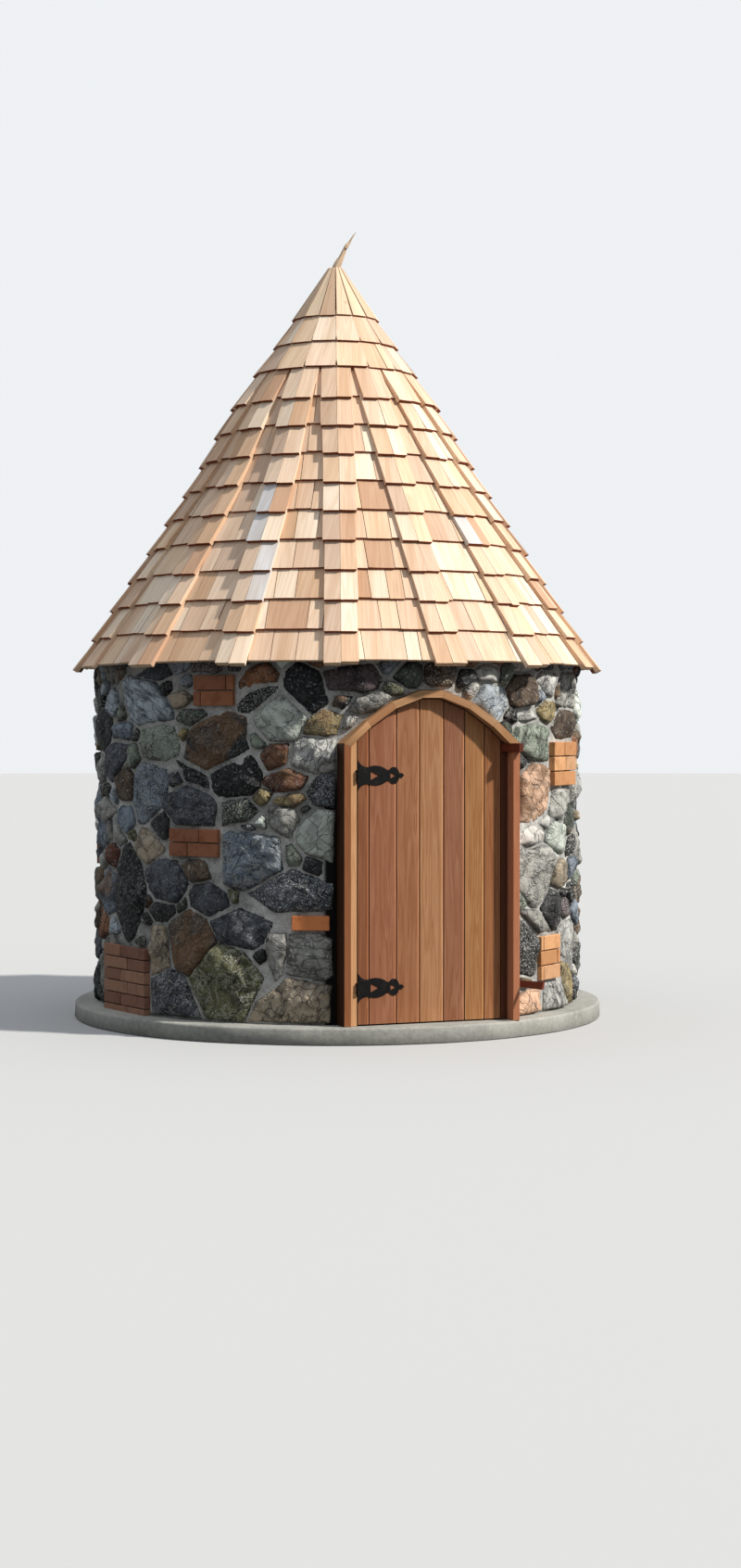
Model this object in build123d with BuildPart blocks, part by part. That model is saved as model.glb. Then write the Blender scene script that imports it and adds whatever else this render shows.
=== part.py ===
from build123d import *
import os
from math import atan2, cos, degrees, radians, sin, tan

# Round stone hut with a steep sixteen-sided shingle roof and an arched plank door.
# The origin is the middle of the slab's underside, +Z is up, and the door faces -Y.

os.makedirs("parts", exist_ok=True)

# Foundation slab
slab_margin = 155
slab_thickness = 90
slab_edge = 8

# Round wall
wall_radius = 1355
wall_thickness = 215
wall_height = 1979

# Roof framing
roof_sides = 16
roof_turn = 2.25
roof_pitch = 58.1
plate_width = 120
plate_height = 45
rafter_width = 45
rafter_depth = 90
block_radius = 125
block_length = 380
deck_thickness = 18
seat_gap = 2.5
board_gap = 0.6

# Shingle courses
course_count = 12
cap_length = 372
capped_courses = 10
eave_overhang = 100
eave_lip = 22
butt_thickness = 26
top_thickness = 12
hip_cap_width = 80
hip_cap_proud = 12
hip_cap_hang = 15
lap_gap = 0.5

# Finial
hole_radius = 31
spigot_radius = 29
finial_radius = 27
finial_sink = 40
finial_knee = (55, -19, 98)
finial_tip = (101, -35, 191)
finial_knee_radius = 10
finial_tip_radius = 2
finial_faces = 6

# Door frame
arch_slopes = (0, 21, 35, 43, 90)
arch_crown = 124
arch_top = 1747
jamb_thickness = 38
jamb_depth = 286
jamb_proud = 46
frame_skew = 38
liner_thickness = 38
liner_depth = 140
liner_setback = 46
stub_width = 38
stub_height = 45
stub_tail = 25
stub_reach = 105
stub_turn = 29
masonry_gap = 5

# Door leaf
leaf_width = 813
leaf_gap = 5
arch_gap = 7
leaf_foot_gap = 8
board_widths = (62, 154, 131, 137, 121, 114)
board_thickness = 22
board_seam = 0.6
board_vee = 4
tongue_thickness = 7
tongue_length = 8
tongue_gap = 0.5
ledge_height = 120
ledge_thickness = 22
ledge_inset = 25
ledge_chamfer = 8
ledge_count = 3
ledge_lowest = 160
ledge_spacing = 585

# Strap hinges
strap_levels = (1304, 198)
strap_thickness = 4
strap_inset = 1
strap_length = 259
strap_half_height = 78.5
eye_radius = 9
eye_height = 28
eye_bore = 4.1
pin_radius = 4
pin_cap = 3
knuckle_height = 14
knuckle_gap = 1
notch_clearance = 2
pintle_plate_width = 26
pintle_plate_height = 96
pintle_plate_inset = 2
hinge_stand_off = 0.5

# Levels and radii worked out from the sizes above
slab_radius = wall_radius + slab_margin
jamb_front = wall_radius + jamb_proud
liner_front = jamb_front - liner_setback
slab_top = slab_thickness
wall_top = slab_top + wall_height
wall_inner = wall_radius - wall_thickness
plate_top = wall_top + plate_height
pitch_sin = sin(radians(roof_pitch))
pitch_cos = cos(radians(roof_pitch))
pitch_tan = tan(radians(roof_pitch))
half_side = 180 / roof_sides
hip_turn = 270 + roof_turn
deck_under_apex = wall_top + seat_gap + wall_radius * pitch_tan
deck_apex = deck_under_apex + deck_thickness / pitch_cos
# The lowest butt's outer edge stands eave_overhang beyond the wall.
eave_radius = wall_radius + eave_overhang - butt_thickness * pitch_sin
eave_level = deck_apex - eave_radius * pitch_tan
apex_level = deck_apex + top_thickness / pitch_cos
course_exposure = (eave_radius / pitch_cos - cap_length) / course_count

frame_half = leaf_width / 2 + leaf_gap + liner_thickness + jamb_thickness
crown_half = arch_crown / 2
crown_level = slab_top + arch_top
leaf_foot = slab_top + leaf_foot_gap
doorway_half = frame_half + masonry_gap
hinge_x = -leaf_width / 2 - leaf_gap / 2
hinge_y = -liner_front - eye_radius - hinge_stand_off


def finish(name, built):
    """Label a finished piece and write its file."""
    built.part.label = name
    export_step(built.part, f"parts/{name}.step")


def upright(angle):
    """Vertical plane through the hut's axis, its x pointing outwards at the angle and its y up."""
    out = (cos(radians(angle)), sin(radians(angle)), 0)
    return Plane(origin=(0, 0, 0), x_dir=out, z_dir=(out[1], -out[0], 0))


def roof_point(along, proud):
    """Radius and level on a side's middle line: along the slope from the eave, proud of the deck."""
    radius = eave_radius - along * pitch_cos + proud * pitch_sin
    level = eave_level + along * pitch_sin + proud * pitch_cos
    return (radius, level)


# Foundation slab, a round pad of concrete with an eased top edge
with BuildPart() as foundation_slab:
    with BuildSketch():
        Circle(slab_radius)
    extrude(amount=slab_thickness)
    chamfer(foundation_slab.faces().sort_by(Axis.Z)[-1].edges(), slab_edge)
finish("foundation_slab", foundation_slab)

# Round wall in eighths, jointed at 45 degrees so that no piece bends far round the room
wall_names = (
    "wall_right_back",
    "wall_back_right",
    "wall_back_left",
    "wall_left_back",
    "wall_left_front",
    "wall_front_left",
    "wall_front_right",
    "wall_right_front",
)
eighth = 360 / len(wall_names)
for index, wall_name in enumerate(wall_names):
    reach = 2 * wall_radius
    turns = [radians(eighth * (index + share)) for share in (0, 0.5, 1)]
    corners = [(reach * cos(turn), reach * sin(turn)) for turn in turns]
    with BuildPart() as wall_piece:
        with BuildSketch(Plane.XY.offset(slab_top)):
            Circle(wall_radius)
            Circle(wall_inner, mode=Mode.SUBTRACT)
            with BuildLine():
                Polyline((0, 0), *corners, close=True)
            make_face(mode=Mode.INTERSECT)
            with Locations((0, -wall_radius)):
                Rectangle(2 * doorway_half, wall_radius, mode=Mode.SUBTRACT)
        extrude(amount=wall_height)
    finish(wall_name, wall_piece)


def arch_corner(index, inset=0.0):
    """Mitre point on the frame's right half, moved in from the outer face by inset."""
    run = (frame_half - crown_half) / sum(cos(radians(slope)) for slope in arch_slopes[1:-1])
    x = crown_half
    z = crown_level
    for slope in arch_slopes[1 : index + 1]:
        x += run * cos(radians(slope))
        z -= run * sin(radians(slope))
    before = radians(arch_slopes[index])
    after = radians(arch_slopes[index + 1])
    in_x = -sin(before) - sin(after)
    in_z = -cos(before) - cos(after)
    share = inset / (1 + cos(after - before))
    return (x + share * in_x, z + share * in_z)


def arch_board(index, outer, inner, foot):
    """Four corners of one frame board of the right half, mitred at both ends."""
    slope = radians(arch_slopes[index])
    ease = (board_gap / 2 * cos(slope), -board_gap / 2 * sin(slope))
    near_out, near_in = arch_corner(index - 1, outer), arch_corner(index - 1, inner)
    if index == len(arch_slopes) - 1:
        far_out, far_in = (near_out[0], foot), (near_in[0], foot)
    else:
        far_out, far_in = arch_corner(index, outer), arch_corner(index, inner)
        far_out = (far_out[0] - ease[0], far_out[1] - ease[1])
        far_in = (far_in[0] - ease[0], far_in[1] - ease[1])
    near_out = (near_out[0] + ease[0], near_out[1] + ease[1])
    near_in = (near_in[0] + ease[0], near_in[1] + ease[1])
    return [near_out, far_out, far_in, near_in]


def crown_board(outer, inner):
    """Four corners of the level board at the top of the arch."""
    (out_x, out_z), (in_x, in_z) = arch_corner(0, outer), arch_corner(0, inner)
    out_x, in_x = out_x - board_gap / 2, in_x - board_gap / 2
    return [(-out_x, out_z), (out_x, out_z), (in_x, in_z), (-in_x, in_z)]


def mirrored(points):
    """The same corners on the left half."""
    return [(-x, z) for x, z in points]


def arch_outline(inset, foot):
    """Closed outline of the whole opening at an inset, down to a level foot."""
    right = [arch_corner(index, inset) for index in range(len(arch_slopes) - 1)]
    right.append((right[-1][0], foot))
    return right + mirrored(right)[::-1]


# Masonry over the door: two haunches beside the arch, and a lintel course from jamb line to jamb line
spring_level = arch_corner(len(arch_slopes) - 2)[1]
arch_line = [arch_corner(index, -masonry_gap) for index in range(len(arch_slopes) - 1)]
lintel_level = crown_level + masonry_gap
haunch = arch_line + [(doorway_half, spring_level - masonry_gap), (doorway_half, lintel_level)]
haunches = {"wall_haunch_right": haunch, "wall_haunch_left": mirrored(haunch)}
lintel = [
    (-doorway_half, lintel_level),
    (doorway_half, lintel_level),
    (doorway_half, wall_top),
    (-doorway_half, wall_top),
]
for wall_name, outline in {**haunches, "wall_over_door": lintel}.items():
    with BuildPart() as wall_piece:
        with BuildSketch(Plane.XZ.offset(wall_radius)):
            Polygon(*outline, align=None)
        extrude(amount=-wall_radius)
        with BuildSketch(Plane.XY):
            Circle(wall_radius)
            Circle(wall_inner, mode=Mode.SUBTRACT)
        extrude(amount=wall_top, mode=Mode.INTERSECT)
    finish(wall_name, wall_piece)

# Wall plate, sixteen mitred timbers bedded on the wall under the rafters' feet
plate_outer = (deck_under_apex - plate_top) / pitch_tan - seat_gap
with BuildPart() as wall_plate:
    with BuildSketch(Plane.XY.offset(wall_top)):
        RegularPolygon(plate_outer, roof_sides, major_radius=False, rotation=hip_turn)
        RegularPolygon(
            plate_outer - plate_width,
            roof_sides,
            major_radius=False,
            rotation=hip_turn,
            mode=Mode.SUBTRACT,
        )
        with PolarLocations(0, roof_sides, start_angle=hip_turn):
            Rectangle(
                2 * wall_radius, board_gap, align=(Align.MIN, Align.CENTER), mode=Mode.SUBTRACT
            )
    extrude(amount=plate_height)
finish("wall_plate", wall_plate)


def deck_underside(turn):
    """Plane of the deck's underside on the side that faces the turn."""
    out = (pitch_sin * cos(radians(turn)), pitch_sin * sin(radians(turn)), pitch_cos)
    return Plane(origin=(0, 0, deck_under_apex), z_dir=out)


# King block, the sixteen-sided hub that the rafters' heads meet, with a round spigot through the roof
block_top = deck_under_apex - block_radius * pitch_tan
rafter_under_apex = deck_under_apex - rafter_depth / pitch_cos
with BuildPart() as king_block:
    with BuildSketch(Plane.XY.offset(block_top - block_length / 2)):
        RegularPolygon(block_radius, roof_sides, major_radius=False, rotation=hip_turn)
    extrude(amount=deck_under_apex - block_top + block_length / 2)
    for index in range(roof_sides):
        turn = hip_turn + half_side * (2 * index + 1)
        split(bisect_by=deck_underside(turn), keep=Keep.BOTTOM)
    with BuildSketch(Plane.XY.offset(block_top)):
        Circle(spigot_radius)
    extrude(amount=apex_level - finial_sink - block_top)
finish("king_block", king_block)

# Hip rafters, seated on the plate and backed to the two slopes that meet over each
hip_share = cos(radians(half_side))
head_radius = block_radius / hip_share + board_gap
under_foot = (rafter_under_apex - plate_top) / pitch_tan / hip_share
over_foot = (deck_under_apex - plate_top) / pitch_tan / hip_share
with BuildPart() as rafter:
    with BuildSketch(upright(hip_turn)):
        Polygon(
            (under_foot, plate_top),
            (over_foot, plate_top),
            (head_radius, deck_under_apex - head_radius * hip_share * pitch_tan),
            (head_radius, rafter_under_apex - head_radius * hip_share * pitch_tan),
            align=None,
        )
    extrude(amount=rafter_width / 2, both=True)
    for turn in (hip_turn - half_side, hip_turn + half_side):
        split(bisect_by=deck_underside(turn), keep=Keep.BOTTOM)
with BuildPart() as rafters:
    with PolarLocations(0, roof_sides):
        add(rafter.part)
finish("rafters", rafters)


def facet_cuts(gap):
    """The two upright planes through the hips beside the side at angle 0, each facing away from it."""
    planes = []
    for side in (1, -1):
        turn = radians(side * half_side)
        away = Vector(-sin(turn) * side, cos(turn) * side, 0)
        planes.append(Plane(origin=away * (-gap / 2), z_dir=away))
    return planes


facet_reach = eave_radius * tan(radians(half_side)) * 1.2
facet_plane = upright(0)
facet_turn = hip_turn + half_side

# Roof deck, a closed boarded panel between each two hips, its tip cut square for the spigot's hole
hole_drop = hole_radius * pitch_tan
with BuildPart() as deck_panel:
    with BuildSketch(facet_plane):
        Polygon(
            roof_point(eave_lip, 0),
            (hole_radius, deck_apex - hole_drop),
            (hole_radius, deck_under_apex - hole_drop),
            roof_point(eave_lip, -deck_thickness),
            align=None,
        )
    extrude(amount=facet_reach, both=True)
    for cut in facet_cuts(board_gap):
        split(bisect_by=cut, keep=Keep.BOTTOM)
with BuildPart() as roof_deck:
    with PolarLocations(0, roof_sides, start_angle=facet_turn):
        add(deck_panel.part)
finish("roof_deck", roof_deck)


def course_side(start, end_points, capped):
    """One side of a shingle course about angle 0: a tapered field, and half of each hip's folded cap."""
    with BuildPart() as side:
        with BuildSketch(facet_plane):
            Polygon(
                roof_point(start, 0), roof_point(start, butt_thickness), *end_points, align=None
            )
        extrude(amount=facet_reach, both=True)
        for cut in facet_cuts(0):
            split(bisect_by=cut, keep=Keep.BOTTOM)
    if not capped:
        return side.part
    # A cap's outer edge runs beside the hip line, which climbs from the eave corner to the apex.
    hip_foot = Vector(eave_radius, eave_radius * tan(radians(half_side)), eave_level)
    hip_head = Vector(0, 0, deck_apex)
    hip_line = (hip_foot - hip_head).normalized()
    facet_normal = Vector(pitch_sin, 0, pitch_cos)
    across = facet_normal.cross(hip_line).normalized()
    low = start - hip_cap_hang
    high = start + course_exposure - hip_cap_hang
    rise = butt_thickness - top_thickness
    under = top_thickness + rise * hip_cap_hang / course_exposure + lap_gap
    with BuildPart() as cap:
        with BuildSketch(facet_plane):
            Polygon(
                roof_point(low, under),
                roof_point(low, butt_thickness + hip_cap_proud),
                roof_point(high, top_thickness + hip_cap_proud),
                roof_point(high, top_thickness / 2),
                roof_point(start, top_thickness / 2),
                roof_point(start, under),
                align=None,
            )
        extrude(amount=facet_reach, both=True)
        split(bisect_by=facet_cuts(0)[0], keep=Keep.BOTTOM)
        split(
            bisect_by=Plane(origin=hip_head - across * hip_cap_width, z_dir=across),
            keep=Keep.TOP,
        )
    with BuildPart() as capped_side:
        add(side.part)
        add(cap.part)
        mirror(cap.part, about=Plane.XZ)
    return capped_side.part


# Shingle courses, each a ring of split cedar shingles with a folded cap on every hip but near the top
for course in range(1, course_count + 1):
    start = (course - 1) * course_exposure
    head = [
        roof_point(start + course_exposure, top_thickness),
        roof_point(start + course_exposure, 0),
    ]
    one_side = course_side(start, head, course <= capped_courses)
    with BuildPart() as ring:
        with PolarLocations(0, roof_sides, start_angle=facet_turn):
            add(one_side)
    finish(f"shingle_course_{course:02d}", ring)

# Roof cap, sixteen long tapered shingles that meet round the finial's foot
cap_head = [(hole_radius, apex_level - hole_drop), (hole_radius, deck_apex - hole_drop)]
one_side = course_side(course_count * course_exposure, cap_head, False)
with BuildPart() as roof_cap:
    with PolarLocations(0, roof_sides, start_angle=facet_turn):
        add(one_side)
finish("roof_cap", roof_cap)

# Finial, a kinked splinter of timber standing on the king block's spigot
finial_foot = apex_level - finial_sink
stretches = (
    (Vector(0, 0, -2 * finial_sink), Vector(finial_knee), finial_radius, finial_knee_radius),
    (Vector(finial_knee), Vector(finial_tip), finial_knee_radius, finial_tip_radius),
)
with BuildPart() as finial:
    for low, high, low_radius, high_radius in stretches:
        lean = high - low
        with BuildSketch(Plane(origin=low + Vector(0, 0, apex_level), z_dir=lean)):
            RegularPolygon(low_radius, finial_faces)
        extrude(
            amount=lean.length,
            taper=degrees(atan2(low_radius - high_radius, lean.length)),
        )
    split(bisect_by=Plane.XY.offset(finial_foot), keep=Keep.TOP)
finish("finial", finial)


def board_edges(outlines, front):
    """The front edges of frame boards, at a distance ahead of the hut's axis."""
    with BuildSketch(Plane.XZ.offset(front)) as edges:
        for outline in outlines:
            Polygon(*outline, align=None)
    return edges.sketch


# Head block, a short timber let in over the right jamb and liner, its end turned out of line
last_board = len(arch_slopes) - 1
stub_root = Vector(leaf_width / 2 + leaf_gap, -liner_front)
stub_along = Vector(sin(radians(stub_turn)), -cos(radians(stub_turn)))
stub_across = Vector(cos(radians(stub_turn)), sin(radians(stub_turn)))
stub_end = stub_root + stub_along * stub_reach
stub_corner = stub_end + stub_across * stub_width
stub_bend = stub_corner - stub_along * ((stub_corner.X - frame_half) / stub_along.X)
stub_plan = [
    (stub_root.X, stub_root.Y + stub_tail),
    (stub_root.X, stub_root.Y),
    (stub_end.X, stub_end.Y),
    (stub_corner.X, stub_corner.Y),
    (frame_half, stub_bend.Y),
    (frame_half, stub_root.Y + stub_tail),
]
with BuildPart() as head_block:
    with BuildSketch(Plane.XY.offset(spring_level - stub_height)):
        Polygon(*stub_plan, align=None)
    extrude(amount=stub_height)
finish("head_block", head_block)

# Outer frame: two jambs on the slab and an arch of seven short mitred boards.
# Its front edges lie in one plane that comes forward from left to right.
frame_front = Plane(origin=(frame_half, -jamb_front, 0), z_dir=(-frame_skew, -2 * frame_half, 0))
right_jamb = arch_board(last_board, 0, jamb_thickness, slab_top)
for side_name, outline in {"right": right_jamb, "left": mirrored(right_jamb)}.items():
    with BuildPart() as jamb:
        extrude(board_edges([outline], jamb_front), amount=-jamb_depth)
        split(bisect_by=frame_front, keep=Keep.BOTTOM)
        add(head_block.part, mode=Mode.SUBTRACT)
    finish(f"jamb_{side_name}", jamb)

right_boards = [arch_board(index, 0, jamb_thickness, slab_top) for index in range(1, last_board)]
left_boards = [mirrored(outline) for outline in right_boards]
with BuildPart() as arch_head:
    crown = crown_board(0, jamb_thickness)
    extrude(board_edges([crown] + right_boards + left_boards, jamb_front), amount=-jamb_depth)
    split(bisect_by=frame_front, keep=Keep.BOTTOM)
    add(head_block.part, mode=Mode.SUBTRACT)
finish("arch_head", arch_head)

# Liner, an upright inside each jamb that the leaf closes between, its top cut to the arch
liner_outer, liner_top = arch_corner(last_board - 1, jamb_thickness)
liner_rise = liner_thickness * tan(radians(arch_slopes[last_board - 1]))
right_liner = [
    (liner_outer, slab_top),
    (liner_outer - liner_thickness, slab_top),
    (liner_outer - liner_thickness, liner_top + liner_rise - board_gap),
    (liner_outer, liner_top - board_gap),
]
for side_name, outline in {"right": right_liner, "left": mirrored(right_liner)}.items():
    with BuildPart() as liner:
        extrude(board_edges([outline], liner_front), amount=-liner_depth)
        add(head_block.part, mode=Mode.SUBTRACT)
    finish(f"liner_{side_name}", liner)

# Door boards, tongued and grooved with a vee at each joint, cut to the arch
board_face = -liner_front
board_back = board_face + board_thickness
board_middle = (board_face + board_back) / 2
widths = board_widths + (leaf_width - sum(board_widths),)
with BuildPart() as door_boards:
    left = -leaf_width / 2
    for index, width in enumerate(widths):
        first = index == 0
        last = index == len(widths) - 1
        right = left + width - (0 if last else board_seam)
        with BuildSketch(Plane.XY.offset(leaf_foot)):
            Polygon(
                (left, board_back),
                (right, board_back),
                (right, board_face + (0 if last else board_vee)),
                (right - (0 if last else board_vee), board_face),
                (left + (0 if first else board_vee), board_face),
                (left, board_face + (0 if first else board_vee)),
                align=None,
            )
            if not last:
                with Locations((right, board_middle)):
                    Rectangle(
                        tongue_length, tongue_thickness, align=(Align.MIN, Align.CENTER)
                    )
            if not first:
                with Locations((left, board_middle)):
                    Rectangle(
                        tongue_length + tongue_gap - board_seam,
                        tongue_thickness + 2 * tongue_gap,
                        align=(Align.MIN, Align.CENTER),
                        mode=Mode.SUBTRACT,
                    )
        extrude(amount=crown_level - leaf_foot)
        left = right + board_seam
    with BuildSketch(Plane.XZ.offset(liner_front)):
        Polygon(*arch_outline(jamb_thickness + arch_gap, leaf_foot), align=None)
    extrude(amount=-board_thickness, mode=Mode.INTERSECT)
finish("door_boards", door_boards)

# Ledges, three level battens behind the boards
with BuildPart() as door_ledges:
    with BuildSketch(Plane.XZ.offset(-board_back)):
        for index in range(ledge_count):
            with Locations((0, slab_top + ledge_lowest + index * ledge_spacing)):
                Rectangle(leaf_width - 2 * ledge_inset, ledge_height)
    extrude(amount=-ledge_thickness)
    chamfer(door_ledges.faces().group_by(Axis.Y)[-1].edges(), ledge_chamfer)
finish("door_ledges", door_ledges)

# Strap hinges, pierced iron plates with a flared root, a waist and a small pointed tip
eye_gap_half = eye_height / 2 + knuckle_gap + knuckle_height + notch_clearance
strap_root = -leaf_width / 2 + strap_inset
notch_depth = hinge_x + eye_radius + notch_clearance - strap_root
strap_face = Plane.XZ.offset(liner_front)


def strap_point(along, up):
    """Point on the strap at shares of its length and of its root's half height."""
    return (along * strap_length, up * strap_half_height)


for strap_name, level in zip(("strap_upper", "strap_lower"), strap_levels):
    middle = slab_top + level
    face = Plane(origin=(strap_root, -liner_front, middle), x_dir=(1, 0, 0), z_dir=(0, -1, 0))
    with BuildPart() as strap:
        with BuildSketch(face):
            with BuildLine():
                flare = ThreePointArc(strap_point(0, 1), strap_point(0.08, 0.68), strap_point(0.22, 0.56))
                swell = ThreePointArc(flare @ 1, strap_point(0.43, 0.64), strap_point(0.62, 0.38))
                waist = ThreePointArc(swell @ 1, strap_point(0.65, 0.36), strap_point(0.685, 0.41))
                bulge = ThreePointArc(waist @ 1, strap_point(0.79, 0.55), strap_point(0.875, 0.28))
                Polyline(
                    bulge @ 1,
                    strap_point(0.91, 0.10),
                    strap_point(0.94, 0.18),
                    strap_point(1, 0),
                    (0, 0),
                    flare @ 0,
                )
            make_face()
            mirror(about=Plane.XZ)
            with BuildLine():
                Polyline(
                    strap_point(0.27, 0.30),
                    strap_point(0.45, 0),
                    strap_point(0.27, -0.30),
                    close=True,
                )
            make_face(mode=Mode.SUBTRACT)
            with BuildLine():
                Polyline(
                    strap_point(0.70, 0.20),
                    strap_point(0.82, 0),
                    strap_point(0.70, -0.20),
                    close=True,
                )
            make_face(mode=Mode.SUBTRACT)
            Rectangle(
                notch_depth,
                2 * eye_gap_half,
                align=(Align.MIN, Align.CENTER),
                mode=Mode.SUBTRACT,
            )
        extrude(amount=strap_thickness)
        # The eye and the tongue that carries it
        with BuildSketch(Plane.XZ.offset(liner_front + hinge_stand_off)):
            with Locations((hinge_x, middle)):
                Rectangle(
                    strap_root + 2 * notch_depth - hinge_x,
                    eye_height,
                    align=(Align.MIN, Align.CENTER),
                )
        extrude(amount=strap_thickness - hinge_stand_off)
        with BuildSketch(Plane.XY.offset(middle - eye_height / 2)):
            with Locations((hinge_x, hinge_y)):
                Circle(eye_radius)
        extrude(amount=eye_height)
        with BuildSketch(Plane.XY.offset(middle - eye_height / 2)):
            with Locations((hinge_x, hinge_y)):
                Circle(eye_bore)
        extrude(amount=eye_height, mode=Mode.SUBTRACT)
    finish(strap_name, strap)

# Pintles, each a plate on the liner's edge with two knuckles and the pin through the strap's eye
liner_edge = -leaf_width / 2 - leaf_gap
plate_left = liner_edge - liner_thickness + pintle_plate_inset
for pintle_name, level in zip(("pintle_upper", "pintle_lower"), strap_levels):
    middle = slab_top + level
    knuckle_foot = eye_height / 2 + knuckle_gap
    with BuildPart() as pintle:
        with BuildSketch(strap_face):
            with Locations((plate_left, middle)):
                Rectangle(
                    pintle_plate_width, pintle_plate_height, align=(Align.MIN, Align.CENTER)
                )
        extrude(amount=strap_thickness)
        for foot in (middle + knuckle_foot, middle - knuckle_foot - knuckle_height):
            with BuildSketch(Plane.XZ.offset(liner_front + hinge_stand_off)):
                with Locations((plate_left + pintle_plate_width / 2, foot)):
                    Rectangle(
                        hinge_x - plate_left - pintle_plate_width / 2,
                        knuckle_height,
                        align=(Align.MIN, Align.MIN),
                    )
            extrude(amount=strap_thickness - hinge_stand_off)
            with BuildSketch(Plane.XY.offset(foot)):
                with Locations((hinge_x, hinge_y)):
                    Circle(eye_radius)
            extrude(amount=knuckle_height)
        pin_foot = middle - knuckle_foot - knuckle_height
        with BuildSketch(Plane.XY.offset(pin_foot)):
            with Locations((hinge_x, hinge_y)):
                Circle(pin_radius)
        extrude(amount=2 * (knuckle_foot + knuckle_height) + pin_cap)
    finish(pintle_name, pintle)
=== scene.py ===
import math
import random

import bmesh
import bpy
from mathutils import Matrix, Vector, noise


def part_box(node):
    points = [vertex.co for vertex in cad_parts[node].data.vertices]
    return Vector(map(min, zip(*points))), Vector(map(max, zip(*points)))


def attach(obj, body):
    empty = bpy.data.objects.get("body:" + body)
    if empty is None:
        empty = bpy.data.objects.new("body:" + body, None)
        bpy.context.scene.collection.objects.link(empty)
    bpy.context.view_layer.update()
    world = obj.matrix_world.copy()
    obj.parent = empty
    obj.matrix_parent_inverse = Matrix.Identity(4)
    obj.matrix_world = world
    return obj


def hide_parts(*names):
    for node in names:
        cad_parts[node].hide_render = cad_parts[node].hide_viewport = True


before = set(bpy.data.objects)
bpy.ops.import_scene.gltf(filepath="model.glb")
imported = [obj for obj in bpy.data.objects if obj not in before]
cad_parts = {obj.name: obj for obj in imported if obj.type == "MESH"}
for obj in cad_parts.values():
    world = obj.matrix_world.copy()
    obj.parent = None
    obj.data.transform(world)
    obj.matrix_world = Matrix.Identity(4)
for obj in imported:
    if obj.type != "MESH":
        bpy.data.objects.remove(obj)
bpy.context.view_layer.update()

# Vector noise starts from the clock unless it is given a seed.
noise.seed_set(7)

# The yard and the light.
# The hut is seen from a little to the left of its door, at eye height, across an open yard.
# A broad lamp stands high on the right, and a pale sky fills the shade. The floor is plain.
view_turn = math.radians(20.95)
view_distance = 13.9
eye_level = 1.60
aim_aside = 0.190
aim_level = 1.322
view_lens = 55.3
image_width, image_height = 800, 1692
sensor_long = 36.0
pixels_per_slope = view_lens / sensor_long * image_height
up = Vector((0, 0, 1))
ahead = Vector((math.sin(view_turn), math.cos(view_turn), 0))
aside = Vector((math.cos(view_turn), -math.sin(view_turn), 0))
eye = up * eye_level - ahead * view_distance
aim = up * aim_level + aside * aim_aside
camera_data = bpy.data.cameras.new("view")
camera_data.lens = view_lens
camera_data.clip_end = 300
camera = bpy.data.objects.new("view", camera_data)
camera.location = eye
camera.rotation_euler = (aim - eye).to_track_quat("-Z", "Y").to_euler()
scene = bpy.context.scene
scene.collection.objects.link(camera)
scene.camera = camera
scene.view_settings.view_transform = "Standard"

lamp_turn = math.radians(70)
lamp_height = math.radians(43)
lamp_strength = 4.75
lamp_spread = math.radians(3)
zenith_light = (0.84, 0.90, 0.98, 1)
horizon_light = (0.07, 0.08, 0.08, 1)
backdrop_colour = (0.86, 0.88, 0.90, 1)
lamp_data = bpy.data.lights.new("lamp", "SUN")
lamp_data.energy = lamp_strength
lamp_data.angle = lamp_spread
lamp_data.color = (1.0, 0.96, 0.90)
lamp = bpy.data.objects.new("lamp", lamp_data)
towards = (aside * math.sin(lamp_turn) - ahead * math.cos(lamp_turn)) * math.cos(lamp_height)
towards += up * math.sin(lamp_height)
lamp.rotation_euler = towards.to_track_quat("Z", "Y").to_euler()
scene.collection.objects.link(lamp)


class Wire:
    """An output in a material's nodes. Arithmetic on it adds Math nodes."""

    def __init__(self, tree, socket=None):
        self.tree = tree
        self.socket = socket

    def node(self, kind, settings=None, values=None, output=0):
        """Add a node of a kind, set it up, then fill or link its sockets."""
        made = self.tree.nodes.new("ShaderNode" + kind)
        for name, value in (settings or {}).items():
            if name == "stops":
                while len(made.color_ramp.elements) < len(value):
                    made.color_ramp.elements.new(1.0)
                for element, (place, colour) in zip(made.color_ramp.elements, value):
                    element.position = place
                    element.color = colour
            else:
                setattr(made, name, value)
        for key, value in (values or {}).items():
            if isinstance(value, Wire):
                self.tree.links.new(value.socket, made.inputs[key])
            else:
                made.inputs[key].default_value = value
        return Wire(self.tree, made.outputs[output])

    def math(self, operation, *terms):
        return self.node("Math", {"operation": operation}, dict(enumerate(terms)))

    def __add__(self, other):
        return self.math("ADD", self, other)

    __radd__ = __add__

    def __sub__(self, other):
        return self.math("SUBTRACT", self, other)

    def __rsub__(self, other):
        return self.math("SUBTRACT", other, self)

    def __mul__(self, other):
        return self.math("MULTIPLY", self, other)

    __rmul__ = __mul__

    def __pow__(self, other):
        return self.math("POWER", self, other)

    def ramp(self, low, high):
        """Zero below low and one above high, with an eased slope between."""
        return self.node(
            "MapRange", {"interpolation_type": "SMOOTHSTEP"}, {0: self, 1: low, 2: high}
        )

    def tinted(self, blend, other, factor):
        """This colour blended with another, by a Mix node's blend type."""
        return self.node(
            "Mix", {"data_type": "RGBA", "blend_type": blend}, {0: factor, 6: self, 7: other}, 2
        )


def paint(red, green, blue):
    """A colour given as it looks, from 0 to 255, for a shader's socket."""
    linear = [((part / 255 + 0.055) / 1.055) ** 2.4 for part in (red, green, blue)]
    return (*linear, 1.0)


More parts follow.
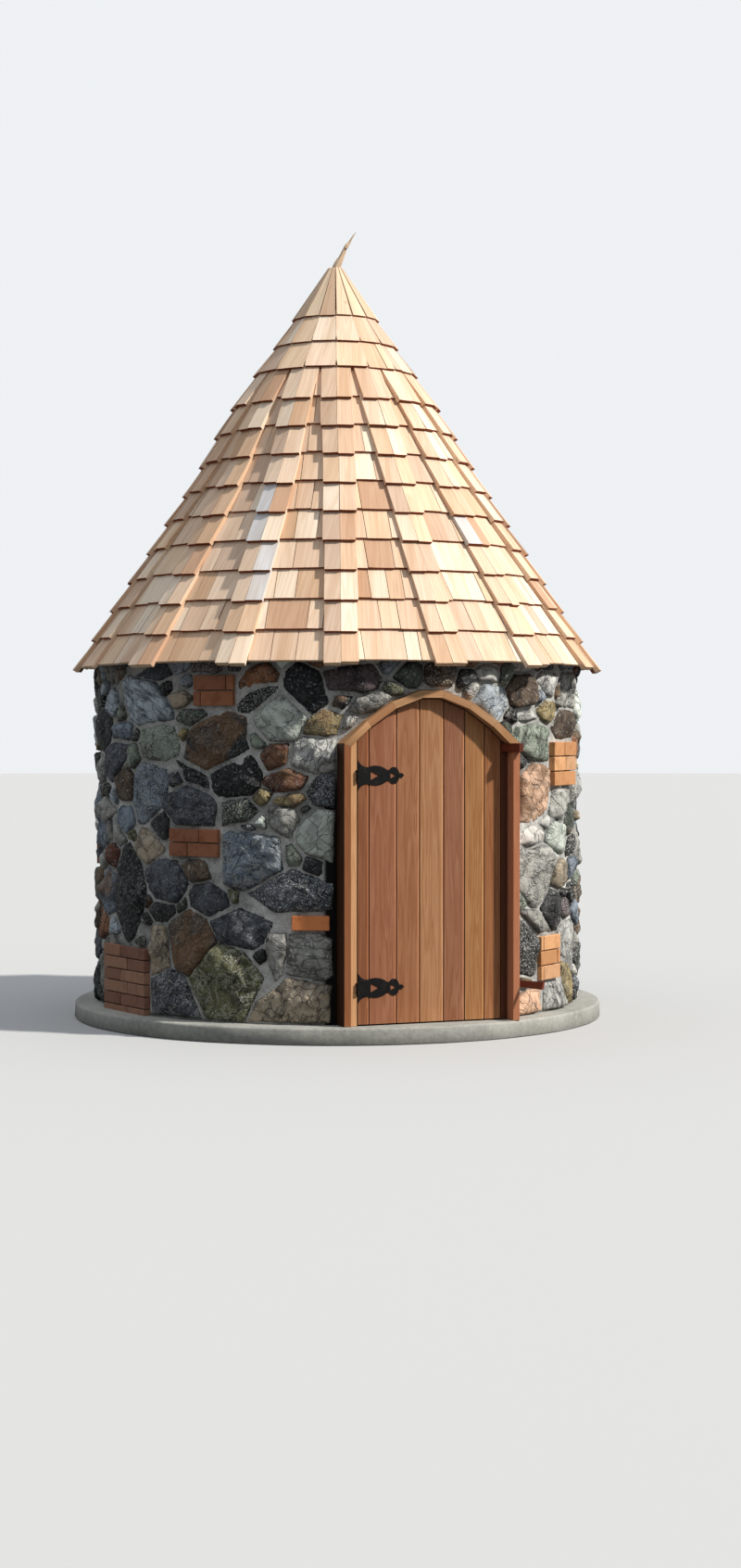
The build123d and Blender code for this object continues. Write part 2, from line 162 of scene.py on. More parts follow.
def by_ray(tree, lighting, shown):
    """One colour for the rays that light the hut, another for those that the view shows."""
    path = tree.nodes.new("ShaderNodeLightPath")
    seen = Wire(tree, path.outputs["Is Camera Ray"])
    for kind in ("Is Glossy Ray", "Is Transmission Ray"):
        seen = seen.math("MAXIMUM", seen, Wire(tree, path.outputs[kind]))
    return seen.node("Mix", {"data_type": "RGBA"}, {0: seen, 6: lighting, 7: shown}, 2)


world = bpy.data.worlds.new("sky")
world.use_nodes = True
scene.world = world
sky = world.node_tree.nodes["Background"]
sky.inputs["Strength"].default_value = 1.0
start = Wire(world.node_tree)
heading = start.node("TexCoord")
height = start.node("SeparateXYZ", None, {0: heading}, 2)
sky_light = height.node(
    "Mix", {"data_type": "RGBA"}, {0: height.ramp(0.05, 0.90), 6: horizon_light, 7: zenith_light}, 2
)
colour = by_ray(world.node_tree, sky_light, backdrop_colour)
world.node_tree.links.new(colour.socket, sky.inputs["Color"])

floor_reach = 90
floor_mesh = bmesh.new()
bmesh.ops.create_circle(floor_mesh, cap_ends=True, segments=96, radius=floor_reach)
floor_data = bpy.data.meshes.new("floor")
floor_mesh.to_mesh(floor_data)
floor_mesh.free()
floor = bpy.data.objects.new("floor", floor_data)
scene.collection.objects.link(floor)
floor_finish = bpy.data.materials.new("pale_floor")
floor_finish.use_nodes = True
floor_shader = floor_finish.node_tree.nodes["Principled BSDF"]
floor_shader.inputs["Roughness"].default_value = 0.95
colour = by_ray(floor_finish.node_tree, (0.08, 0.08, 0.08, 1), (0.45, 0.45, 0.445, 1))
floor_finish.node_tree.links.new(colour.socket, floor_shader.inputs["Base Color"])
floor_data.materials.append(floor_finish)


# The slab is one round pour of grey concrete, floated on top and left rough at its rim.
# Its edge is a little wavy where the form was a bent strip, and it is eased by wear.
def surface(name, roughness=0.8, gloss=0.15):
    """A new material: its shader, and a wire to hang nodes from."""
    made = bpy.data.materials.new(name)
    made.use_nodes = True
    shader = made.node_tree.nodes["Principled BSDF"]
    shader.inputs["Roughness"].default_value = roughness
    shader.inputs["Specular IOR Level"].default_value = gloss
    return made, shader, Wire(made.node_tree)


def connect(shader, **wires):
    """Link wires to the shader's sockets, named with _ for each space."""
    for name, wire in wires.items():
        wire.tree.links.new(wire.socket, shader.inputs[name.replace("_", " ")])


def bumped(wire, height, strength, depth):
    """A Bump node's normal from a height wire, the depth in metres."""
    return wire.node("Bump", None, {"Strength": strength, "Distance": depth, "Height": height})


def texture(start, place, scale, detail=4.0, rough=0.55, warp=0.0):
    """Noise from 0 to 1 on a place wire."""
    return start.node(
        "TexNoise",
        None,
        {"Vector": place, "Scale": scale, "Detail": detail, "Roughness": rough, "Distortion": warp},
    )


def piece(name, shape, finish, body="hut", replaced=()):
    """A finished mesh as an object that rides on a body."""
    data = bpy.data.meshes.new(name)
    shape.to_mesh(data)
    shape.free()
    data.materials.append(finish)
    made = bpy.data.objects.new(name, data)
    scene.collection.objects.link(made)
    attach(made, body)
    if replaced:
        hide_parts(*replaced)
    return made


slab_low, slab_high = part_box("foundation_slab")
slab_radius = slab_high.x
slab_top = slab_high.z
rim_ease = 0.012
rim_wave = 0.004

concrete, concrete_shader, start = surface("rough_concrete", 0.9)
place = start.node("TexCoord", output=3)
cloud = texture(start, place, 1.7, 5.0, 0.6)
fine = texture(start, place, 38.0, 6.0, 0.7)
grit = texture(start, place, 260.0, 2.0, 0.5)
tone = cloud * 0.55 + fine * 0.45
concrete_colour = tone.node(
    "ValToRGB",
    {"stops": [(0.30, paint(118, 118, 112)), (0.52, paint(158, 157, 150)), (0.75, paint(186, 184, 176))]},
    {0: tone},
)
rim_height = fine * 0.7 + grit * 0.3
connect(
    concrete_shader,
    Base_Color=concrete_colour,
    Normal=bumped(start, rim_height, 0.5, 0.004),
)

slab = bmesh.new()
profile = [
    (0, 0),
    (slab_radius - 0.004, 0),
    (slab_radius, 0.006),
    (slab_radius, slab_top * 0.5),
    (slab_radius - 0.001, slab_top - rim_ease),
    (slab_radius - rim_ease * 0.4, slab_top - rim_ease * 0.35),
    (slab_radius - rim_ease, slab_top),
    (slab_radius - 0.07, slab_top),
    (0, slab_top),
]
corners = [slab.verts.new((radius, 0, level)) for radius, level in profile]
edges = [slab.edges.new(pair) for pair in zip(corners, corners[1:])]
bmesh.ops.spin(
    slab, geom=corners + edges, axis=(0, 0, 1), cent=(0, 0, 0), steps=180, angle=math.tau, use_merge=True
)
bmesh.ops.remove_doubles(slab, verts=slab.verts, dist=1e-5)
bmesh.ops.recalc_face_normals(slab, faces=slab.faces)
for corner in slab.verts:
    reach = corner.co.xy.length
    if reach > slab_radius - 0.05:
        wave = noise.fractal(corner.co * 3.0, 0.7, 2.1, 4) - 0.6
        corner.co.xy *= 1 + rim_wave * wave / reach
for face in slab.faces:
    face.smooth = abs(face.normal.z) < 0.9
piece("slab", slab, concrete, replaced=["foundation_slab"])


# The wall's mortar is pale, sandy and raked back between the stones, so that it sinks and swells.
# The wall's own blocks show behind it and from the room, in the same mortar over hidden rubble.
mortar, mortar_shader, start = surface("raked_mortar", 0.95)
place = start.node("TexCoord", output=3)
cloud = texture(start, place, 3.1, 4.0, 0.6)
sand = texture(start, place, 75.0, 5.0, 0.7)
lump = texture(start, place, 16.0, 4.0, 0.6)
tone = cloud * 0.5 + sand * 0.3 + lump * 0.2
mortar_colour = tone.node(
    "ValToRGB",
    {"stops": [(0.36, paint(66, 66, 67)), (0.48, paint(158, 157, 153)), (0.66, paint(228, 226, 219))]},
    {0: tone},
)
apart = [start.node("SeparateXYZ", None, {0: place}, axis) for axis in range(3)]
# A strip of mortar beside the left jamb, in front and up to about 1.5 m, is painted near-black as painted
# shade in the gap there.
beside_frame = apart[0] + 0.515
painted_gap_shade = 1 - beside_frame.math("ABSOLUTE", beside_frame).ramp(0.022, 0.050)
painted_gap_shade = painted_gap_shade * (1 - apart[1].ramp(-1.2, -1.1)) * (1 - apart[2].ramp(1.3, 1.6))
mortar_colour = mortar_colour.tinted("MIX", paint(14, 12, 11), painted_gap_shade)
mortar_height = lump * 0.6 + sand * 0.4
connect(
    mortar_shader, Base_Color=mortar_colour, Normal=bumped(start, mortar_height, 0.8, 0.008)
)
wall_nodes = [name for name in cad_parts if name.startswith("wall_") and name != "wall_plate"]
for name in wall_nodes:
    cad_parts[name].data.materials.clear()
    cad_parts[name].data.materials.append(mortar)

wall_low, wall_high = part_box("wall_left_front")
wall_face = -wall_low.x
wall_top = wall_high.z
stone_face = wall_face + 0.028
roof_slope = math.tan(math.radians(58.1))
deck_clearance = 0.004
round_wall = math.tau * stone_face


def on_wall(along, level, proud):
    """Point at a distance along the wall from the door's middle, kept below the roof deck."""
    limit = (wall_top - level) / roof_slope - deck_clearance
    radius = wall_face + min(proud, max(limit, -0.03))
    turn = along / stone_face
    return Vector((radius * math.sin(turn), -radius * math.cos(turn), level))


def seen_at(across, down):
    """Distance along the wall and level of the stone face behind a pixel of the 800 by 1692 view."""
    sight = (aim - eye).normalized()
    right = sight.cross(up).normalized()
    over = right.cross(sight)
    ray = sight + right * ((across - image_width / 2) / pixels_per_slope)
    ray -= over * ((down - image_height / 2) / pixels_per_slope)
    a = ray.xy.length_squared
    b = ray.xy.dot(eye.xy)
    c = eye.xy.length_squared - stone_face**2
    reach = (-b - math.sqrt(max(b * b - a * c, 0.0))) / a
    spot = eye + ray * reach
    turn = math.atan2(spot.x, -spot.y)
    return Vector((turn * stone_face, spot.z))


def measured(across, down, width, height):
    """Middle, length along the wall and height of what covers a box of pixels."""
    left = seen_at(across - width / 2, down)
    right = seen_at(across + width / 2, down)
    top = seen_at(across, down - height / 2)
    foot = seen_at(across, down + height / 2)
    middle = Vector(((left.x + right.x) / 2, (top.y + foot.y) / 2))
    return middle, right.x - left.x, top.y - foot.y


# The doorway's outline in the wall, and each brick insert, keep the stones away.
frame_gap = 0.012
jamb_low, jamb_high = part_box("jamb_right")
head_low, head_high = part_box("arch_head")
arch_slopes = [math.radians(slope) for slope in (21, 35, 43)]
crown_half = 0.062
frame_half = head_high.x
run = (frame_half - crown_half) / sum(math.cos(slope) for slope in arch_slopes)
arch_points = [(crown_half, head_high.z)]
for slope in arch_slopes:
    x, z = arch_points[-1]
    arch_points.append((x + run * math.cos(slope), z - run * math.sin(slope)))
half_outline = arch_points + [(frame_half, 0.0)]


def along_of(x):
    """Distance along the wall of a point that stands at x."""
    return stone_face * math.asin(x / stone_face)


doorway = [Vector((along_of(x), z)) for x, z in half_outline]
doorway += [Vector((-along_of(x), z)) for x, z in reversed(half_outline)]


def sides_of(outline, gap):
    """Lines round a convex clockwise outline, each a point and an outward normal."""
    found = []
    for first, second in zip(outline, outline[1:] + outline[:1]):
        run_along = (second - first).normalized()
        away = Vector((-run_along.y, run_along.x))
        found.append((first + away * gap, away))
    return found


# Brick inserts: where they show, how many courses, and their clays. Courses break joint wherever an insert is
# longer than a brick.
brick_length = 0.203
brick_joint = 0.006
dull_clay = [paint(154, 114, 94), paint(164, 124, 102), paint(144, 105, 88)]
red_clay = [paint(164, 108, 78), paint(176, 118, 86), paint(156, 104, 78)]
bright_clay = [paint(226, 140, 88), paint(216, 132, 82)]
pale_clay = [paint(206, 156, 112), paint(196, 142, 98), paint(212, 164, 124)]
brick_inserts = (
    (230, 745, 44, 34, 2, red_clay),
    (208.5, 909.5, 53, 31, 2, red_clay),
    (334.5, 996.5, 43, 17, 1, bright_clay),
    (136.5, 1060, 43, 78, 6, dull_clay),
    (608.5, 824, 23, 48, 3, pale_clay),
    (594.5, 1033, 21, 48, 3, pale_clay),
)
brick_places = [(*measured(*insert[:4]), *insert[4:]) for insert in brick_inserts]
hidden_inserts = (
    (3.05, 1.45, 0.21, 0.15, 2, red_clay),
    (4.20, 0.75, 0.26, 0.22, 3, dull_clay),
    (-3.30, 1.70, 0.21, 0.15, 2, pale_clay),
    (2.35, 0.60, 0.21, 0.15, 2, red_clay),
    (-2.55, 0.95, 0.26, 0.15, 2, dull_clay),
)
for along, level, *rest in hidden_inserts:
    brick_places.append((Vector((along, level)), *rest))
open_joint_width = 0.034
stone_stop = list(doorway)
stone_stop[len(half_outline)] -= Vector((open_joint_width, 0))
keep_out = [sides_of(stone_stop, frame_gap)]
for middle, length, height, *_ in brick_places:
    half = Vector((length / 2, height / 2))
    box = [
        middle + Vector((-half.x, half.y)),
        middle + half,
        middle + Vector((half.x, -half.y)),
        middle - half,
    ]
    keep_out.append(sides_of(box, 0.010))


# The bricks are sandy clay bricks, some broken, set in the wall in small stacks among the stones.
brick_clay, brick_shader, start = surface("fired_clay", 0.9)
place = start.node("TexCoord", output=3)
tint = start.node("Attribute", {"attribute_name": "tint"})
blotch = texture(start, place, 14.0, 5.0, 0.65)
pore = texture(start, place, 150.0, 4.0, 0.7)
brick_colour = tint.tinted("MULTIPLY", (0.62, 0.55, 0.52, 1), blotch.ramp(0.45, 0.7) * 0.7)
brick_colour = brick_colour.tinted("MIX", paint(190, 160, 140), pore.ramp(0.60, 0.75) * 0.35)
brick_height = pore * 0.6 + blotch * 0.4
connect(brick_shader, Base_Color=brick_colour, Normal=bumped(start, brick_height, 0.6, 0.003))

draw = random.Random(7)
bricks = bmesh.new()
brick_tint = bricks.loops.layers.float_color.new("tint")


def stretch(shape, middle, length, height):
    """Corners of a new block of the shape, set to a size and place."""
    made = bmesh.ops.create_cube(shape, size=1.0)["verts"]
    for corner in made:
        corner.co = Vector((corner.co.x * length, corner.co.y, corner.co.z * height)) + middle
    return made


brick_back = 0.02
for middle, length, height, courses, clays in brick_places:
    turn = middle.x / stone_face
    place_on = Matrix.Rotation(turn, 4, "Z")
    bend = length * length / 8 / stone_face
    face_at = wall_face + draw.uniform(0.022, 0.034) - bend * 0.3
    course_height = height / courses
    for course in range(courses):
        level = middle.y - height / 2 + (course + 0.5) * course_height
        cuts = [-length / 2, length / 2]
        if length > brick_length * 1.02:
            first = brick_length if course % 2 else length - brick_length
            cuts.insert(1, -length / 2 + first)
        for left, right in zip(cuts, cuts[1:]):
            if right - left < 0.03:
                continue
            corners = stretch(
                bricks,
                Vector(((left + right) / 2, 0, level)),
                right - left - brick_joint,
                course_height - brick_joint,
            )
            proud = draw.uniform(-0.002, 0.003)
            for corner in corners:
                corner.co.y = -(face_at + proud) if corner.co.y < 0 else -(wall_face - brick_back)
            bmesh.ops.rotate(bricks, verts=corners, cent=(0, 0, 0), matrix=place_on)
            faces = list({face for corner in corners for face in corner.link_faces})
            colour = draw.choice(clays)
            shade = draw.uniform(0.85, 1.12)
            for face in faces:
                for loop in face.loops:
                    loop[brick_tint] = [part * shade for part in colour[:3]] + [1.0]
bmesh.ops.bevel(
    bricks,
    geom=bricks.edges[:],
    offset=0.003,
    offset_type="OFFSET",
    segments=2,
    profile=0.5,
    affect="EDGES",
    material=-1,
)
piece("wall_bricks", bricks, brick_clay)


# The mortar stands a little proud of the wall's blocks, sunk in places and full in others.
# It stops at the doorway, where the frame is fixed, and turns in to the blocks at its rims.
mortar_cell = 0.025
mortar_low = -0.003
mortar_swell = 0.011
bed = bmesh.new()
columns = int(round_wall / mortar_cell)
rows = int((wall_top - slab_top) / mortar_cell)
bmesh.ops.create_grid(bed, x_segments=columns, y_segments=rows, size=0.5)
for corner in bed.verts:
    corner.co.x *= round_wall
    corner.co.y = slab_top + (corner.co.y + 0.5) * (wall_top - slab_top)
doorway_lines = sides_of(doorway, 0.003)
for point, away in doorway_lines:
    near = [face for face in bed.faces if abs(face.calc_center_median().x) < frame_half * 1.6]
    parts = {part for face in near for part in (*face.verts, *face.edges, face)}
    bmesh.ops.bisect_plane(
        bed,
        geom=list(parts),
        dist=1e-5,
        plane_co=(point.x, point.y, 0),
        plane_no=(away.x, away.y, 0),
    )
inside = []
for face in bed.faces:
    centre = face.calc_center_median().xy
    if all((centre - point).dot(away) < 0 for point, away in doorway_lines):
        inside.append(face)
bmesh.ops.delete(bed, geom=inside, context="FACES")
for corner in bed.verts:
    along, level = corner.co.xy
    flat = on_wall(along, level, 0.0)
    swell = noise.fractal(flat * 6.0, 0.9, 2.2, 4) * 0.5 + 0.5
    ripple = noise.noise(flat * 45.0) * 0.0018
    corner.co = on_wall(along, level, mortar_low + mortar_swell * min(max(swell, 0), 1.2) + ripple)
bmesh.ops.remove_doubles(bed, verts=bed.verts, dist=1e-4)
rim = [edge for edge in bed.edges if edge.is_boundary]
turned_in = bmesh.ops.extrude_edge_only(bed, edges=rim)["geom"]
for corner in turned_in:
    if isinstance(corner, bmesh.types.BMVert):
        corner.co.xy *= (wall_face - 0.01) / corner.co.xy.length
for face in bed.faces:
    face.smooth = True
piece("wall_mortar", bed, mortar)


# The stones are field rubble: rounded boulders and split lumps of many rocks, dark ones mostly.
# Each is bedded on the mortar with its best face out, and its edges roll back into the joint.
rubble, rubble_shader, start = surface("field_rubble", 0.8)
tint = start.node("Attribute", {"attribute_name": "tint"})
figure = start.node("Attribute", {"attribute_name": "figure"})
bedding = start.node("Attribute", {"attribute_name": "bedding"}, output=1)
streak_share = start.node("SeparateColor", None, {0: figure}, 0)
speck_share = start.node("SeparateColor", None, {0: figure}, 1)
vein_share = start.node("SeparateColor", None, {0: figure}, 2)
rust_share = start.node("Attribute", {"attribute_name": "figure"}, output=3)
drawn_out = start.node("VectorMath", {"operation": "MULTIPLY"}, {0: bedding, 1: (1.0, 7.0, 7.0)})
mottle = texture(start, bedding, 11.0, 6.0, 0.65, 0.4)
patch = texture(start, bedding, 5.0, 3.0, 0.5, 0.8)
fine = texture(start, bedding, 62.0, 5.0, 0.7)
streak = texture(start, drawn_out, 5.0, 5.0, 0.6, 0.6)
speck = texture(start, bedding, 120.0, 2.0, 0.6)
curl = texture(start, bedding, 7.0, 4.0, 0.6, 2.2)
vein = 1 - (curl - 0.5).math("ABSOLUTE", curl - 0.5).ramp(0.0, 0.035)
crumple = start.node("TexNoise", None, {"Vector": bedding, "Scale": 9.0, "Detail": 3.0}, 1)
crumpled = start.node(
    "VectorMath", {"operation": "MULTIPLY_ADD"}, {0: crumple, 1: (0.14, 0.14, 0.14), 2: bedding}
)
split = start.node("TexVoronoi", {"feature": "DISTANCE_TO_EDGE"}, {"Vector": crumpled, "Scale": 13.0})
crease = 1 - split.ramp(0.0, 0.06)
darkness = 1 - start.node("SeparateColor", None, {0: tint}, 1) * 0.7
rubble_colour = tint.tinted("MULTIPLY", (0.28, 0.28, 0.30, 1), mottle.ramp(0.46, 0.62) * darkness * 0.9)
rubble_colour = rubble_colour.tinted("MIX", paint(196, 199, 195), fine.ramp(0.55, 0.68) * 0.55)
rubble_colour = rubble_colour.tinted("MULTIPLY", (0.22, 0.22, 0.24, 1), crease * mottle.ramp(0.36, 0.52) * 0.8)
rubble_colour = rubble_colour.tinted("MIX", paint(130, 98, 68), patch.ramp(0.44, 0.6) * rust_share)
rubble_colour = rubble_colour.tinted("MULTIPLY", (0.3, 0.31, 0.33, 1), streak.ramp(0.5, 0.6) * streak_share)
rubble_colour = rubble_colour.tinted("MIX", paint(205, 206, 198), speck.ramp(0.56, 0.63) * speck_share)
rubble_colour = rubble_colour.tinted("MIX", paint(214, 214, 204), vein * vein_share)
rubble_height = mottle * 0.5 + fine * 0.25 + streak * streak_share * 0.4 + speck * 0.1 - crease * 0.12
connect(
    rubble_shader,
    Base_Color=rubble_colour,
    Roughness=0.62 + fine * 0.35,
    Normal=bumped(start, rubble_height, 1.0, 0.030),
)

rock = {
    "pale blue": paint(176, 186, 194),
    "blue": paint(128, 138, 150),
    "slate": paint(84, 88, 95),
    "black": paint(32, 33, 36),
    "dark": paint(58, 58, 59),
    "green": paint(140, 149, 134),
    "pale green": paint(220, 228, 216),
    "dark green": paint(76, 83, 74),
    "olive": paint(122, 121, 90),
    "grey": paint(168, 166, 159),
    "pale grey": paint(202, 201, 195),
    "white": paint(240, 235, 226),
    "tan": paint(186, 170, 147),
    "yellow": paint(172, 154, 112),
    "brown": paint(104, 88, 74),
    "orange": paint(156, 106, 74),
    "red": paint(112, 70, 56),
    "purple": paint(86, 74, 76),
    "coral": paint(204, 166, 138),
}
figures = {
    "plain": (0.05, 0.05, 0.05, 0.0),
    "streaked": (0.85, 0.05, 0.15, 0.0),
    "speckled": (0.10, 0.75, 0.05, 0.0),
    "swirled": (0.45, 0.20, 0.40, 0.0),
    "rusty": (0.25, 0.15, 0.10, 0.6),
}
# Stones given one by one: middle, width, height and lean in the view, then rock and figure.
seen_stones = (
    (157, 757, 69, 46, -12, "pale blue", "streaked"),
    (165, 724, 44, 16, 0, "slate", "plain"),
    (117, 758, 15, 24, 0, "pale blue", "streaked"),
    (110, 786, 15, 48, 0, "dark", "plain"),
    (129, 790, 23, 23, 0, "blue", "streaked"),
    (169, 802, 49, 42, 10, "green", "speckled"),
    (202, 774, 29, 16, 0, "dark green", "swirled"),
    (231, 800, 74, 56, 12, "dark", "rusty"),
    (302, 774, 56, 52, 25, "pale green", "swirled"),
    (279, 753, 46, 22, 30, "dark", "speckled"),
    (350, 779, 42, 26, 18, "yellow", "rusty"),
    (326, 740, 44, 60, 20, "black", "plain"),
    (280, 728, 44, 29, 8, "orange", "rusty"),
    (122, 820, 26, 38, 20, "slate", "plain"),
    (142, 815, 12, 24, 10, "green", "plain"),
    (160, 855, 40, 66, -8, "blue", "speckled"),
    (133, 848, 16, 36, 0, "brown", "plain"),
    (205, 837, 42, 20, -25, "black", "streaked"),
    (203, 869, 58, 42, -8, "slate", "streaked"),
    (253, 842, 52, 44, 15, "black", "plain"),
    (297, 815, 32, 26, 25, "red", "rusty"),
    (339, 815, 52, 36, 0, "pale grey", "streaked"),
    (307, 843, 46, 22, 5, "red", "rusty"),
    (348, 856, 32, 36, 0, "slate", "speckled"),
    (314, 864, 36, 15, 0, "yellow", "rusty"),
    (256, 875, 44, 32, 5, "dark green", "speckled"),
    (305, 884, 34, 31, 0, "grey", "plain"),
    (344, 900, 46, 60, 0, "pale green", "swirled"),
    (115, 874, 19, 28, 0, "grey", "plain"),
    (133, 884, 15, 32, 0, "blue", "plain"),
    (156, 912, 27, 34, 0, "tan", "plain"),
    (171, 888, 18, 28, 0, "dark", "plain"),
    (267, 929, 78, 62, 12, "blue", "swirled"),
    (313, 964, 106, 46, 10, "slate", "speckled"),
    (177, 952, 46, 50, 0, "slate", "plain"),
    (209, 940, 27, 20, 0, "brown", "plain"),
    (224, 971, 50, 30, -5, "slate", "plain"),
    (138, 965, 34, 108, 0, "black", "streaked"),
    (171, 983, 24, 24, 0, "dark", "plain"),
    (204, 1018, 50, 62, -30, "brown", "rusty"),
    (169, 1025, 23, 48, -5, "tan", "plain"),
    (257, 1002, 58, 40, 0, "slate", "plain"),
    (297, 1025, 20, 68, 0, "grey", "plain"),
    (333, 1034, 46, 44, 0, "grey", "streaked"),
    (243, 1063, 82, 84, -10, "olive", "swirled"),
    (184, 1076, 56, 50, -10, "slate", "swirled"),
    (316, 1084, 94, 50, 0, "tan", "streaked"),
    (384, 733, 62, 34, 0, "purple", "plain"),
    (398, 757, 50, 18, 20, "grey", "swirled"),
    (444, 727, 30, 24, 0, "dark green", "plain"),
    (477, 727, 34, 26, 0, "brown", "speckled"),
    (507, 733, 20, 20, 0, "dark", "plain"),
    (531, 727, 24, 20, 0, "pale grey", "plain"),
    (527, 757, 42, 42, 0, "pale blue", "swirled"),
    (512, 744, 14, 20, 0, "white", "plain"),
    (565, 743, 27, 36, 0, "brown", "plain"),
    (592, 768, 22, 26, 0, "yellow", "plain"),
    (611, 783, 27, 30, 0, "brown", "plain"),
    (572, 773, 26, 14, 0, "pale grey", "plain"),
    (579, 799, 42, 40, 0, "green", "streaked"),
    (579, 858, 36, 62, 0, "coral", "rusty"),
    (575, 902, 31, 24, 0, "white", "plain"),
    (577, 944, 38, 66, 10, "grey", "swirled"),
    (580, 994, 34, 22, -20, "grey", "plain"),
    (569, 1025, 28, 60, 0, "dark", "speckled"),
    (571, 1089, 38, 36, 0, "coral", "plain"),
    (600, 1080, 24, 38, 0, "pale grey", "streaked"),
    (607, 867, 19, 34, 0, "grey", "speckled"),
    (604, 904, 22, 34, 0, "pale green", "plain"),
    (606, 944, 18, 30, 0, "tan", "plain"),
    (600, 980, 20, 38, 0, "dark", "plain"),
    (594, 737, 20, 30, 0, "pale grey", "streaked"),
    (616, 742, 20, 40, 0, "grey", "streaked"),
)
draw = random.Random(23)
stones = []
for across, down, width, height, lean, rock_name, figure_name in seen_stones:
    middle, length, rise = measured(across, down, width, height)
    lean_turn = math.radians(lean)
    stones.append((middle, length / 2, rise / 2, lean_turn, rock[rock_name], figures[figure_name]))


def round_to(first, second):
    """The shorter way along the round wall from one place to another."""
    step = second - first
    step.x = (step.x + round_wall / 2) % round_wall - round_wall / 2
    return step


def reach_of(stone, way):
    """How far a stone reaches from its middle in a direction, and the direction square to its rim."""
    lean = stone[3]
    turned = Vector((way.dot((math.cos(lean), math.sin(lean))), way.dot((-math.sin(lean), math.cos(lean)))))
    scaled = Vector((turned.x / stone[1], turned.y / stone[2]))
    square = Vector((scaled.x / stone[1], scaled.y / stone[2])).normalized()
    outwards = Vector((
        square.x * math.cos(lean) - square.y * math.sin(lean),
        square.x * math.sin(lean) + square.y * math.cos(lean),
    ))
    return 1 / scaled.length, outwards


def outside(outline, spot):
    """How far a place lies outside a convex outline, and the line that keeps them apart."""
    return max(((spot - point).dot(away), index) for index, (point, away) in enumerate(outline))


def fits(stone):
    """Whether a stone finds room between the inserts, the doorway and the stones laid before it."""
    middle, length, rise = stone[:3]
    if not slab_top + rise * 0.7 < middle.y < wall_top - rise * 0.6:
        return False
    if any(outside(outline, middle)[0] < min(length, rise) * 0.55 for outline in keep_out):
        return False
    for other in stones:
        step = round_to(middle, other[0])
        if abs(step.x) > 0.45 or abs(step.y) > 0.45:
            continue
        way = step.normalized()
        if step.length < 0.90 * (reach_of(stone, way)[0] + reach_of(other, way)[0]):
            return False
    return True


common_rocks = (
    ["slate"] * 4 + ["dark"] * 4 + ["black"] * 2 + ["grey"] * 4 + ["blue"] * 3 + ["green"] * 2
    + ["dark green"] * 2 + ["olive", "pale grey", "pale grey", "pale blue", "pale blue"]
    + ["pale green", "tan", "yellow", "brown", "brown", "orange", "red", "purple", "white"]
)
common_figures = ["plain"] * 4 + ["streaked"] * 4 + ["speckled"] * 3 + ["swirled"] * 3 + ["rusty"] * 2
for size, tries in ((0.135, 260), (0.11, 500), (0.085, 900), (0.064, 1500), (0.047, 2200), (0.034, 2600)):
    for _ in range(tries):
        stretch_by = draw.uniform(1.0, 1.35)
        size_here = size * draw.uniform(0.9, 1.12)
        middle = Vector((
            draw.uniform(-round_wall / 2, round_wall / 2), draw.uniform(slab_top, wall_top)
        ))
        lean_turn = draw.gauss(0.0, 0.5)
        stone = (middle, size_here * stretch_by, size_here / stretch_by, lean_turn)
        rock_name = draw.choice(common_rocks)
        figure_name = draw.choice(common_figures)
        if fits(stone):
            stones.append((*stone, rock[rock_name], figures[figure_name]))


def lines_round(index):
    """Lines that bound a stone: its neighbours, its own rim, the doorway, inserts, slab and roof."""
    stone = stones[index]
    middle = stone[0]
    own = random.Random(index)
    found = []
    corners_round = own.randint(7, 9)
    start_turn = own.uniform(0, math.tau)
    for number in range(corners_round):
        turn = start_turn + math.tau * (number + own.uniform(-0.25, 0.25)) / corners_round
        way = Vector((math.cos(turn), math.sin(turn)))
        reach, square = reach_of(stone, way)
        found.append((middle + way * reach * own.uniform(1.20, 1.50), square))
    for other_index, other in enumerate(stones):
        step = round_to(middle, other[0])
        if other_index == index or step.length > 1.5 * (max(stone[1:3]) + max(other[1:3])):
            continue
        way = step.normalized()
        own_reach, own_square = reach_of(stone, way)
        other_reach, other_square = reach_of(other, way)
        joint = 0.004 + 0.006 * noise.cell(Vector((index + other_index, index * other_index % 97, 0.5)))
        place = middle + way * (step.length * own_reach / (own_reach + other_reach) - joint)
        found.append((place, (own_square + other_square).normalized()))
    for outline in keep_out:
        gap, line = outside(outline, middle)
        if gap < 0.6:
            point, away = outline[line]
            found.append((point, -away))
    found.append((Vector((middle.x, slab_top + 0.003)), Vector((0, -1))))
    found.append((Vector((middle.x, wall_top - 0.006)), Vector((0, 1))))
    return found


eighths = {}
names = ("front_right", "right_front", "right_back", "back_right", "back_left", "left_back", "left_front")
names += ("front_left",)
for index, stone in enumerate(stones):
    eighth = int((stone[0].x / round_wall % 1.0) * len(names))
    eighths.setdefault(names[eighth], []).append(index)

